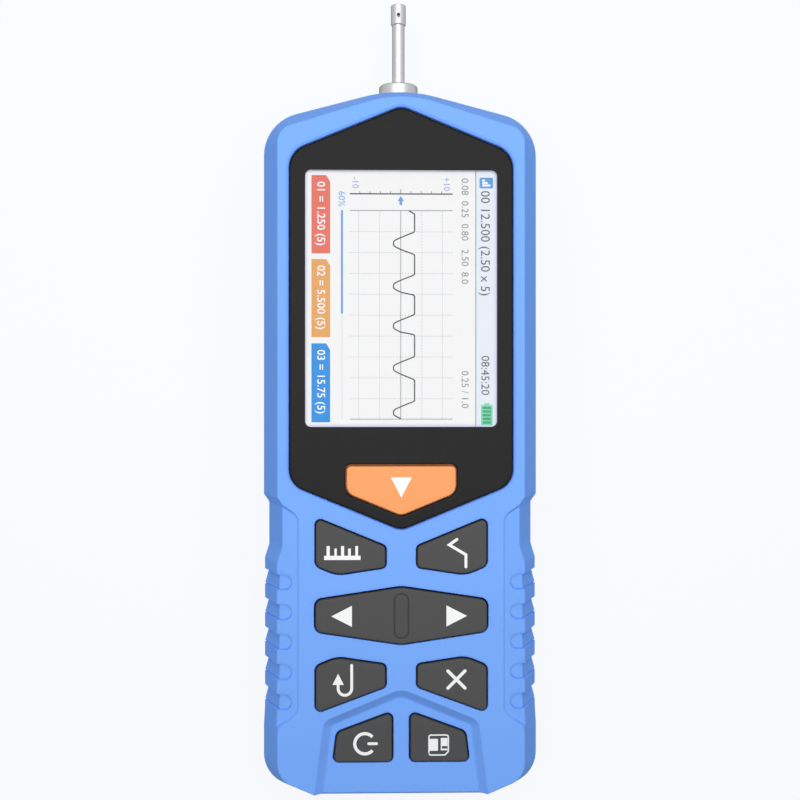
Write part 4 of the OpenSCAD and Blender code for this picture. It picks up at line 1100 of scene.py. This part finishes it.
chart_left, chart_right, chart_top, chart_low, chart_middle = 9.05, 55.9, 10.0, 33.1, 21.65
high_level, low_level = 18.55, 23.3
trace = [(chart_left + 0.05, high_level + 1.3)]
for begin, end in ((9.75, 13.8), (18.95, 23.4), (28.1, 32.35), (37.0, 41.8), (47.05, 51.8)):
    trace += [(begin - 0.12, high_level + 0.3), (begin + 0.15, high_level), (end - 0.1, high_level)]
    trace += [(end + 0.15, high_level + 0.25), (end + 1.3, chart_middle), (end + 1.85, low_level - 0.45)]
    trace += [(end + 2.2, low_level - 0.06), (end + 2.65, low_level), (end + 3.1, low_level - 0.06)]
    trace += [(end + 3.4, low_level - 0.45), (end + 4.0, chart_middle)]
trace = [(u, v) for u, v in trace if chart_left <= u <= chart_right - 0.1]
dots = []
dot_half, dot_l, dot_pitch = 0.08, 0.22, 0.65
for v in (12.3, 16.9, 26.4, 31.1):
    dots += [field(u, v - dot_half, u + dot_l, v + dot_half)
             for u in np.arange(chart_left + 0.3, chart_right - 0.3, dot_pitch)]
for u in np.arange(13.8, 55.0, 4.69):
    dots += [field(u - dot_half, v, u + dot_half, v + dot_l)
             for v in np.arange(chart_top + 0.1, chart_low, dot_pitch)]
ticks = []
tick_pitch, tick_half = 2.3, 0.07
for k in range(-4, 5):
    v = chart_middle + tick_pitch * k
    ticks.append(field(4.2 if k == 0 else 4.7, v - tick_half, 5.3, v + tick_half))


def tag(left, right):
    """A result field with one corner cut off."""
    top, bottom = 37.5, 41.7
    return [on_screen(left, bottom), on_screen(right, bottom), on_screen(right, top),
            on_screen(left + 1.45, top), on_screen(left, top + 0.9)]


def softened(outline, r):
    """An outline with all its corners rounded alike."""
    return rounded(outline, [r] * len(outline), steps=4)


def thin(level):
    """The edges of a thin line at a level of the chart."""
    return level - 0.08, level + 0.08


left_line, right_line, middle_line = thin(chart_left), thin(chart_right), thin(chart_middle)
pointer_half = [(5.8, 0.0), (6.9, 0.7), (6.9, 0.3), (7.8, 0.3)]
pointer = [(u, chart_middle + v) for u, v in pointer_half]
pointer += [(u, chart_middle - v) for u, v in reversed(pointer_half[1:])]

# The picture's layers from the back to the front: colour, shapes, and figures as text, size and place
picture = {
    "status_bar": (shade(230, 234, 243), [field(0.0, 0.0, 57.6, 4.7)], []),
    "grid": (shade(168, 169, 175), dots, []),
    "chart_lines": (shade(132, 133, 140), [
        field(0.0, 4.68, 57.6, 4.86), field(left_line[0], chart_top, left_line[1], chart_low),
        field(right_line[0], chart_top, right_line[1], chart_low),
        field(chart_left, middle_line[0], chart_right, middle_line[1])], [
        ("0.08  0.25  0.80   2.50  8.0", 2.25, 1.7, 7.95), ("0.25 / 1.0", 2.25, 45.0, 7.95)]),
    "axis": (shade(84, 85, 90), [field(5.15, chart_top, 5.45, chart_low)] + ticks, [
        ("00 12.500 (2.50 x 5)", 2.9, 4.5, 3.6), ("08:45:20", 2.6, 41.6, 3.5)]),
    "trace": (shade(34, 35, 38), [stroke([on_screen(u, v) for u, v in trace], 0.27)], []),
    "red_field": (shade(229, 112, 93), [tag(1.16, 18.7)], []),
    "orange_field": (shade(231, 163, 90), [tag(20.0, 37.5)], []),
    "blue_field": (shade(30, 142, 222), [tag(38.9, 56.6)], []),
    "blue_marks": (shade(96, 158, 220), [
        field(chart_left - 0.05, 34.62, 32.2, 35.08), [on_screen(u, v) for u, v in pointer],
        softened(field(1.6, 0.9, 4.0, 3.95), 0.35)], [("60%", 2.1, 4.7, 35.6)]),
    "scale_marks": (shade(150, 156, 222), [], [("+10", 2.0, 1.5, 12.0), ("-10", 2.0, 1.5, 32.5)]),
    "progress": (shade(216, 218, 226), [field(32.2, 34.77, chart_right, 34.93)], []),
    "battery": (shade(128, 214, 178), [field(52.7, 1.0, 57.25, 3.6), field(52.3, 1.75, 52.75, 2.85)], []),
    "battery_bars": (shade(62, 168, 122), [
        field(53.1 + 0.82 * k, 1.35, 53.65 + 0.82 * k, 3.25) for k in range(5)], []),
    "white_marks": (shade(250, 250, 252), [
        softened(field(2.05 + 0.55 * k, 3.3 - 0.6 * (k + 1), 2.45 + 0.55 * k, 3.35), 0.08)
        for k in range(3)], [
        ("01 = 1.250 (5)", 2.5, 2.6, 40.35), ("02 = 5.500 (5)", 2.5, 21.4, 40.35),
        ("03 = 15.75 (5)", 2.5, 40.3, 40.35)]),
}
layer_z = lcd_high.z
layer_sunk, layer_t, layer_step = 0.05, 0.03, 0.02
for order, (name, (colour, shapes, signs)) in enumerate(picture.items()):
    high = layer_z + layer_t + layer_step * order
    solids = [slabs(shapes, layer_z - layer_sunk, high)] if shapes else []
    bold = 0.02 if name == "white_marks" else 0.0
    solids += [figures(text, size, across, down, high, bold) for text, size, across, down in signs]
    # The status bar gets the same painted shade at the screen's edges
    paint = lit("display_" + name, colour, screen_painted_shade if name == "status_bar" else None)
    finished(blank("display_" + name, joined(*solids)), paint, "case")

# Keys: soft moulded silicone caps with signs printed in white on top. Seven have a flange
# under the case and a plunger on their switch, and push straight down. The wide arrow key
# rocks about a pin, held by two ears of the case, and has a plunger under each end.
key_grey = moulded("key_grey_rubber", shade(72, 72, 73), roughness=0.62, grain_scale=3200.0, relief=0.2,
                   drift=0.04, specular=0.2)
start_orange = moulded("start_orange_rubber", shade(248, 160, 98), roughness=0.55, grain_scale=3200.0,
                       relief=0.2, drift=0.04, specular=0.25)
sign_white = moulded("sign_white_print", shade(243, 243, 243), roughness=0.45, grain_scale=2800.0,
                     relief=0.05, drift=0.02)
key_gap = 0.4
key_edge_r = 0.28
key_flange, flange_t, flange_gap = 0.5, 1.0, 0.1
key_dish = 0.05
sign_t = 0.03


def key_rings(points, radii, skirt, top_z):
    """Rings of a key cap from its lower rim, as (out, z) pairs, to the start of its flat top."""
    steps = list(skirt)
    for k in range(6):
        a = k / 5 * pi / 2
        steps.append((-key_gap - key_edge_r * (1 - cos(a)), top_z - key_dish - key_edge_r * (1 - sin(a))))
    steps += [(-key_gap - 0.9, top_z - 0.02), (-key_gap - 1.6, top_z)]
    return stacked(points, radii, steps)


key_tops = {}
pill_half_w, pill_half_l, pill_r, pill_d = 1.55, 4.9, 1.5, 0.3
rib_half, rib_end = 1.5, 2.4
plunger_r, rocker_foot_x = 1.5, 12.5
for key, (points, radii, _, under) in key_openings.items():
    low, high = box_mm(key)
    top_z = high.z - sign_t
    key_tops[key] = top_z
    flange_z = under - flange_gap
    skirt = [(key_flange, flange_z - flange_t), (key_flange, flange_z), (-key_gap, flange_z)]
    if key == "arrow_rocker":
        skirt = [(-key_gap, hinge_z - 0.2)]
    rings = key_rings(points, radii, skirt, top_z)
    if key == "arrow_rocker":
        corners, faces = loft(rings[:-1], cap_last=False)
        pill = both_sides([(pill_half_w, keys_y - pill_half_l), (pill_half_w, keys_y + pill_half_l)])
        pill_outline = rounded(pill, [pill_r] * 4)
        net = Sheet()
        top_ring = [(x, y) for x, y, _ in rings[-2]]
        net.closed(top_ring)
        for out in (0.3, 0.16, 0.05, -0.05, -0.16, -0.3):
            net.closed(rounded(pill, [pill_r] * 4, out))
        at, triangles = net.meshed(top_ring, [])
        dip = pill_d * eased(1 - np.maximum(np.abs(distance_to(pill_outline, at)) - 0.03, 0) / 0.16)
        cap = [(x, y, rings[-2][0][2] - d) for (x, y), d in zip(at, dip)]
        solid = joined((corners, faces), (cap, [tuple(map(int, t)) for t in triangles]))
        feet = [(-rocker_foot_x, keys_y), (rocker_foot_x, keys_y)]
        rib = both_sides([(rib_half, low.y + rib_end), (rib_half, high.y - rib_end)])
        pin_profile = [(hinge_r - 0.1, low.y), (hinge_r, low.y + 0.1), (hinge_r, high.y - 0.1),
                       (hinge_r - 0.1, high.y)]
        pin = turned(pin_profile, (0.0, hinge_z), "y", 24)
        solid = joined(solid, slabs([rib], hinge_z - hinge_r - 0.2, hinge_z + 0.2), pin)
    else:
        solid = loft(rings)
        middle = np.array(rounded(points, radii)).mean(0)
        feet = [tuple(middle)]
    plunger = [(plunger_r - 0.2, low.z), (plunger_r, low.z + 0.2), (plunger_r, flange_z - 0.5)]
    piece = blank(key + "_cap", joined(solid, *[turned(plunger, p, steps=24) for p in feet]))
    if key == "start_key":
        finished(piece, start_orange, key, [key])
    else:
        finished(piece, key_grey, key, [key])


def arc(centre, r, begin, end, count=24):
    """Points on an arc between two angles."""
    return [(centre[0] + r * cos(a), centre[1] + r * sin(a)) for a in np.linspace(begin, end, count)]


tall_tick_y, short_tick_y = -22.0, -22.55
tick_marks = [(-16.55, -15.85, tall_tick_y), (-14.82, -14.3, short_tick_y), (-13.35, -12.68, tall_tick_y),
              (-11.8, -11.2, short_tick_y), (-10.2, -9.6, tall_tick_y)]
ruler_left, ruler_right, ruler_low, ruler_high = -17.1, -9.05, -25.08, -24.15
ruler = [(ruler_left, ruler_low), (ruler_right, ruler_low), (ruler_right, ruler_high)]
for left, right, top in reversed(tick_marks):
    ruler += [(right, ruler_high), (right, top), (left, top), (left, ruler_high)]
ruler += [(ruler_left, ruler_high)]
arrow_half = 2.33
hook_at, hook_r = (-12.5, -53.5), 1.5
power_at = (-8.1, -66.28)
save_at = (8.35, -66.67)
save_scale = 0.95


def on_save(points):
    """Points of the save sign, from its middle."""
    return [(save_at[0] + save_scale * x, save_at[1] + save_scale * y) for x, y in points]


save_points = [(-2.27, -2.34), (1.5, -2.34), (2.27, -1.52), (2.27, 2.34), (-2.27, 2.34)]
save_edge = rounded(on_save(save_points), [0.45, 0.2, 0.2, 0.45, 0.45], steps=5)
save_shutter = softened(on_save(rectangle(-2.18, -1.35, -0.15, 1.45)), 0.2)
save_label = [(0.5, -0.25, 2.05, 1.65), (0.5, -1.25, 2.05, -0.85), (0.5, -1.05, 0.75, -0.05)]
signs = {
    "start_key": [[(-2.35, -6.9), (0.0, -11.4), (2.35, -6.9)]],
    "scale_key": [ruler],
    "parameter_key": [stroke([(12.3, -20.6), (10.6, -21.8), (14.3, -24.0), (14.3, -26.7)], 0.62, True)],
    "arrow_rocker": [[(-15.5, keys_y), (-10.95, keys_y - arrow_half), (-10.95, keys_y + arrow_half)],
                     [(14.55, keys_y), (9.98, keys_y + arrow_half), (9.98, keys_y - arrow_half)]],
    "enter_key": [stroke([(-11.0, -48.4), (-11.0, -53.5)] + arc(hook_at, hook_r, 0, -pi) + [(-14.0, -52.3)],
                         0.62, True),
                  [(-12.75, -52.7), (-14.0, -50.25), (-15.25, -52.7)]],
    "escape_key": [stroke([(10.3, -49.75), (14.1, -53.55)], 0.7, True),
                   stroke([(10.3, -53.55), (14.1, -49.75)], 0.7, True)],
    "power_key": [stroke(arc(power_at, 2.25, radians(42), radians(318), 40), 0.7),
                  stroke([(power_at[0] + 0.85, power_at[1]), (power_at[0] + 2.6, power_at[1])], 0.62, True)],
    "save_key": [stroke(save_edge + save_edge[:2], 0.3), save_shutter,
                 *[on_save(rectangle(*block)) for block in save_label]],
}
sign_sunk, layer_drop = 0.06, 0.005
for key, outlines in signs.items():
    top_z = key_tops[key]
    layers = [slabs([outline], top_z - sign_sunk, top_z + sign_t - layer_drop * i)
              for i, outline in enumerate(outlines)]
    sign = blank(key + "_sign", joined(*layers))
    finished(sign, sign_white, key)

# Pickup: a ground steel body that slides out of the rear case on the drive's carriage, a
# drawn steel tube, and a small skid head with a slot for the stylus. All three are turned
# and polished, with fine marks round them.
turned_marks, given, result = effect_group("turned_marks", ["Marks", "Roughness", "Gloss Drift"])
place = add_node(turned_marks, "ShaderNodeTexCoord")
stretch = add_node(turned_marks, "ShaderNodeMapping", Scale=(0.06, 1.0, 0.06))
rings_noise = add_node(turned_marks, "ShaderNodeTexNoise", Detail=4.0, Roughness=0.6)
smudge = add_node(turned_marks, "ShaderNodeTexNoise", Scale=160.0, Detail=3.0)
smudge_level = add_node(turned_marks, "ShaderNodeMapRange", To_Min=0.9, To_Max=1.04)
wire(turned_marks, (place.outputs["Object"], stretch.inputs["Vector"]),
     (stretch.outputs["Vector"], rings_noise.inputs["Vector"]),
     (given.outputs["Marks"], rings_noise.inputs["Scale"]),
     (place.outputs["Object"], smudge.inputs["Vector"]),
     (smudge.outputs["Fac"], smudge_level.inputs["Value"]))
effect_results(turned_marks, given, result, smudge_level.outputs[0], rings_noise.outputs["Fac"])


def machined(name, colour, roughness=0.25, marks=9000.0, relief=0.12):
    """A turned, ground or drawn metal with marks round its axis."""
    material, tree, shader, finish = with_effect(
        name, turned_marks, Colour=colour, Marks=marks, Roughness=roughness, Gloss_Drift=0.2)
    show_relief(tree, shader, finish, relief, 0.02 * MM)
    shader.inputs["Metallic"].default_value = 1.0
    return material


steel = machined("polished_steel", shade(194, 194, 196), roughness=0.46)
steel.node_tree.nodes["Principled BSDF"].inputs["Specular Tint"].default_value = (0.03, 0.03, 0.04, 1.0)
body_low, body_high = box_mm("pickup_body")
tube_low, tube_high = box_mm("pickup_tube")
head_low, head_high = box_mm("skid_head")
axis = (0.0, pickup_z)
turn_steps = 64


def round_edge(r, y, edge, begin, count):
    """A turned piece's rounded outer edge, as profile points that end on its flat end."""
    return [(r - edge + edge * cos(a), y - edge + edge * sin(a)) for a in np.linspace(begin, pi / 2, count)]


body_r = body_high.x
body_round, body_bore_r, seat_r = 0.5, 3.3, 1.75
body_profile = [(body_r - 1.5, body_low.y), (body_r - 0.3, body_low.y), (body_r, body_low.y + 0.3)]
body_profile += [(body_r, case_half_l + 1.5), (body_r, body_high.y - body_round)]
body_profile += round_edge(body_r, body_high.y, body_round, 0.2, 7)
body_profile += [(2.5, body_high.y), (2.3, body_high.y - 0.25), (seat_r, body_high.y - 0.25)]
body_profile += [(seat_r, body_high.y - 1.5), (body_bore_r, body_high.y - 2.4)]
body_profile += [(body_bore_r, body_low.y + 4.0), (body_bore_r, body_low.y)]
pickup_body = blank("pickup_barrel", turned(body_profile, axis, "y", turn_steps, True))
finished(pickup_body, steel, "pickup", ["pickup_body"])

tube_r, tube_t = tube_high.x, 0.4
tube_profile = [(tube_r, tube_low.y), (tube_r, head_low.y - 0.1), (tube_r, tube_high.y)]
tube_profile += [(tube_r - tube_t, tube_high.y), (tube_r - tube_t, tube_low.y)]
pickup_stem = blank("pickup_stem", turned(tube_profile, axis, "y", turn_steps, True))
finished(pickup_stem, steel, "pickup", ["pickup_tube"])

head_r = head_high.x
head_round = 0.2
head_profile = [(tube_r + 0.02, head_low.y), (head_r - 0.15, head_low.y), (head_r, head_low.y + 0.15)]
head_profile += round_edge(head_r, head_high.y, head_round, 0, 8)
head_bore_r, head_end_t = 1.1, 0.8
head_profile += [(0.02, head_high.y), (0.02, head_high.y - head_end_t)]
head_profile += [(head_bore_r, head_high.y - head_end_t), (head_bore_r, tube_high.y)]
head_profile += [(tube_r + 0.02, tube_high.y)]
skid_head = blank("skid_nose", turned(head_profile, axis, "y", turn_steps, True))
drop_half = 0.4
drop_points = both_sides([(drop_half, 105.75), (drop_half, 106.35)], [], [(0.0, 104.75)])
drop_outline = rounded(drop_points, [0.3, 0.39, 0.39, 0.3, 0.06], steps=6)
tip_y = (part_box("stylus_tip")[0].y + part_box("stylus_tip")[1].y) / 2 / MM
slot_half = 0.36
slot_points = both_sides([(slot_half, tip_y - 0.75), (slot_half, tip_y + 0.45)])
slot_outline = rounded(slot_points, [slot_half * 0.98] * 4, steps=6)
slot_in, slot_out = 0.9, 3
slots = slabs([drop_outline], pickup_z + slot_in, pickup_z + slot_out)
slots = joined(slots, slabs([slot_outline], pickup_z - slot_out, pickup_z - slot_in))
carve(skid_head, blank("skid_nose_slots", slots), "DIFFERENCE")
finished(skid_head, steel, "pickup", ["skid_head"])

# Stylus and skid: a fine steel arm on a pivot inside the pickup, with a ground gem point,
# and a polished ruby button under the head that slides on the work.
ruby = moulded("skid_ruby", shade(150, 24, 44), roughness=0.12, grain_scale=900.0, relief=0.01, drift=0.1)
ruby.node_tree.nodes["Principled BSDF"].inputs["Coat Weight"].default_value = 0.6
gem = moulded("stylus_gem_point", shade(196, 204, 214), roughness=0.1, grain_scale=900.0, relief=0.01,
              drift=0.08)


def dress(material, *nodes):
    """Give CAD pieces that keep their shape their finish."""
    for name in nodes:
        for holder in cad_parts[name].material_slots:
            holder.material = material


dress(steel, "stylus_arm", "pivot_pin")
dress(ruby, "skid_button")
dress(gem, "stylus_tip")

# Case screws: four long steel screws with low round heads and cross recesses, turned up
# into the front case from the wells in the rear case.
dull_steel = machined("dull_steel", shade(176, 177, 180), roughness=0.38, marks=5000.0)
head_z = screws_low.z
shank_r = 1.5
screw_profile = [(1.4, head_z), (2.1, head_z + 0.18), (2.42, head_z + 0.6), (screw_head_r, head_z + 1.1)]
screw_profile += [(screw_head_r, head_z + screw_head_h), (shank_r, head_z + screw_head_h)]
screw_profile += [(shank_r, screws_high.z - 0.8), (0.9, screws_high.z)]
case_screws = blank("case_screw_set", joined(*[turned(screw_profile, p, steps=32) for p in screw_places]))
cross_half_l, cross_half_w, cross_d = 1.35, 0.28, 1.1
for u, v in ((cross_half_l, cross_half_w), (cross_half_w, cross_half_l)):
    arms = [rectangle(x - u, y - v, x + u, y + v) for x, y in screw_places]
    carve(case_screws, blank("cross_recess", slabs(arms, head_z - 0.4, head_z + cross_d)), "DIFFERENCE")
finished(case_screws, dull_steel, "case", ["case_screws"])

# Drive and electronics: the cast frame with its rods, lead screw, nut and gear motor, and
# the board, switches and battery. They keep their modelled shapes inside the case.
board_green = moulded("board_solder_mask", shade(28, 92, 66), roughness=0.35, grain_scale=700.0, relief=0.1,
                      drift=0.35)
dark_plastic = moulded("inner_dark_plastic", shade(44, 45, 48), roughness=0.5, drift=0.06)
mat_rubber = moulded("keypad_mat_rubber", shade(70, 71, 74), roughness=0.7, drift=0.06)
carriage_blue = moulded("carriage_plastic", shade(70, 110, 165), roughness=0.45, drift=0.06)
battery_foil = moulded("battery_foil", shade(168, 178, 190), roughness=0.3, grain_scale=260.0, relief=0.4,
                       drift=0.12)
cast_alloy = machined("cast_alloy", shade(158, 160, 164), roughness=0.5, marks=2500.0, relief=0.3)
bronze = machined("bearing_bronze", shade(196, 150, 92), roughness=0.35, marks=4000.0)
gold = machined("contact_gold", shade(232, 188, 96), roughness=0.2, marks=6000.0)
copper = machined("coil_copper", shade(200, 120, 78), roughness=0.35, marks=12000.0, relief=0.4)
dress(board_green, "main_board")
dress(dark_plastic, "lcd_tray", "limit_switches", "pickup_socket", "pickup_plug")
dress(mat_rubber, "keypad_mat")
dress(carriage_blue, "carriage")
dress(battery_foil, "battery_pack")
dress(cast_alloy, "drive_frame")
dress(bronze, "screw_bearings", "rod_bushes", "drive_nut", "shaft_coupling")
dress(gold, "contact_pins")
dress(copper, "sensor_coils")
dress(dull_steel, "key_switches", "guide_rods", "lead_screw", "motor_shaft", "drive_motor",
      "motor_screws", "board_screws", "drive_screws")

# Charging socket: a folded steel shell with a dark plastic tongue and plated contacts inside,
# soldered to the lower end of the board just behind its opening in the front case.
socket_low, socket_high = box_mm("charging_socket")
shell_half_w, shell_half_h = socket_high.x - 0.01, (socket_high.z - socket_low.z) / 2
shell_end = max(y for _, y in socket_mouth) - 0.05
shell_back = socket_high.y


def sleeve(half_w, half_h, levels):
    """A round-ended solid along Y, drawn in by (inset, y) levels."""
    rings = []
    for inset, y in levels:
        rings.append([(x, y, z) for x, z in stadium(half_w - inset, half_h - inset, 40, 0.5)])
    return loft(rings)


shell_t = 0.35
shell_steps = [(0.0, shell_back), (0.0, shell_end + 0.12), (0.1, shell_end), (0.25, shell_end),
               (shell_t, shell_end + 0.1), (shell_t, shell_back - 1.0)]
charging_shell = blank("charging_shell", sleeve(shell_half_w, shell_half_h, shell_steps))
finished(charging_shell, dull_steel, "case", ["charging_socket"])
tongue_half_w, tongue_half_h = 3.3, 0.38
tongue_steps = [(0.0, shell_back - 1.1), (0.0, shell_end + 1.0), (0.15, shell_end + 0.8)]
charging_tongue = blank("charging_tongue", sleeve(tongue_half_w, tongue_half_h, tongue_steps))
finished(charging_tongue, dark_plastic, "case")
pad_half_w, pad_half_h, pad_pitch, pad_count = 0.13, 0.42, 0.5, 12
pad_begin, pad_end = shell_end + 1.2, shell_end + 4.0
pads = []
for k in range(pad_count):
    x = pad_pitch * (k - (pad_count - 1) / 2)
    pads.append(rectangle(x - pad_half_w, pad_begin, x + pad_half_w, pad_end))
contacts = slabs(pads, socket_z - pad_half_h, socket_z + pad_half_h)
finished(blank("charging_contacts", contacts), gold, "case")

# Studio: a white floor under the tester, a soft light above its top end, and an even fill
# from all round. The camera looks straight down on the face, as in the photograph.
floor_paint = bpy.data.materials.new("floor_white")
floor_paint.use_nodes = True
floor_tree = floor_paint.node_tree
floor_shader = floor_tree.nodes["Principled BSDF"]
floor_shader.inputs["Base Color"].default_value = (0.67, 0.86, 1.0, 1.0)
floor_shader.inputs["Roughness"].default_value = 0.9
floor_shader.inputs["Specular IOR Level"].default_value = 0.1
floor_seen = add_node(floor_tree, "ShaderNodeMixShader")
floor_seen.inputs[0].default_value = 0.88
floor_white = add_node(floor_tree, "ShaderNodeEmission", Color=(1.0, 1.0, 1.0, 1.0))
wire(floor_tree, (floor_shader.outputs[0], floor_seen.inputs[1]),
     (floor_white.outputs[0], floor_seen.inputs[2]))


def show_instead(tree, lights, shown, surface):
    """Show the camera, mirrors and glass one shader, and light the tester with another."""
    path = add_node(tree, "ShaderNodeLightPath")
    seen = path.outputs["Is Camera Ray"]
    for ray in ("Is Glossy Ray", "Is Transmission Ray"):
        either = add_node(tree, "ShaderNodeMath", operation="MAXIMUM")
        wire(tree, (seen, either.inputs[0]), (path.outputs[ray], either.inputs[1]))
        seen = either.outputs[0]
    choice = add_node(tree, "ShaderNodeMixShader")
    wire(tree, (seen, choice.inputs[0]), (lights.outputs[0], choice.inputs[1]),
         (shown.outputs[0], choice.inputs[2]), (choice.outputs[0], surface))


show_instead(floor_tree, floor_shader, floor_seen, floor_tree.nodes["Material Output"].inputs["Surface"])
floor_half = 3000
floor_corners = [(x, y, 0) for x, y in rectangle(-floor_half, -floor_half, floor_half, floor_half)]
floor = blank("studio_floor", (floor_corners, [(0, 1, 2, 3)]))
floor.location.z = -0.02 * MM
floor.data.materials.append(floor_paint)

world = bpy.data.worlds.new("studio_fill")
world.use_nodes = True
bpy.context.scene.world = world
sky = world.node_tree
fill = sky.nodes["Background"]
fill.inputs["Color"].default_value = (0.84, 1.0, 1.18, 1.0)
fill.inputs["Strength"].default_value = 0.27
backdrop = add_node(sky, "ShaderNodeBackground", Color=(1.0, 1.0, 1.0, 1.0), Strength=1.0)
show_instead(sky, fill, backdrop, sky.nodes["World Output"].inputs["Surface"])

softbox = bpy.data.lights.new("softbox", "AREA")
softbox.shape = "SQUARE"
softbox.size = 0.3
softbox.energy = 1.0
softbox.color = (1.05, 1.0, 0.94)
softbox_stand = bpy.data.objects.new("softbox", softbox)
softbox_stand.location = (0.0, 0.092, 0.33)
bpy.context.scene.collection.objects.link(softbox_stand)

view_y = 10.3
eye = Vector((-6.1, view_y, face_z + 258.0))
aim = Vector((-0.3, view_y, face_z))
half_frame_px, focal_px = 400.0, 1162.6
lens = bpy.data.cameras.new("photo_view")
lens.sensor_fit = "HORIZONTAL"
lens.angle = 2 * atan2(half_frame_px, focal_px)
lens.clip_start = 0.01
camera = bpy.data.objects.new("photo_view", lens)
camera.location = eye * MM
sight = (aim - eye).normalized()
up = Vector((0, 1, 0))
right = sight.cross(up).normalized()
up = right.cross(sight)
camera.rotation_euler = Matrix((right, up, -sight)).transposed().to_euler()
bpy.context.scene.collection.objects.link(camera)
bpy.context.scene.camera = camera
bpy.context.scene.view_settings.view_transform = "Standard"

bpy.context.view_layer.update()
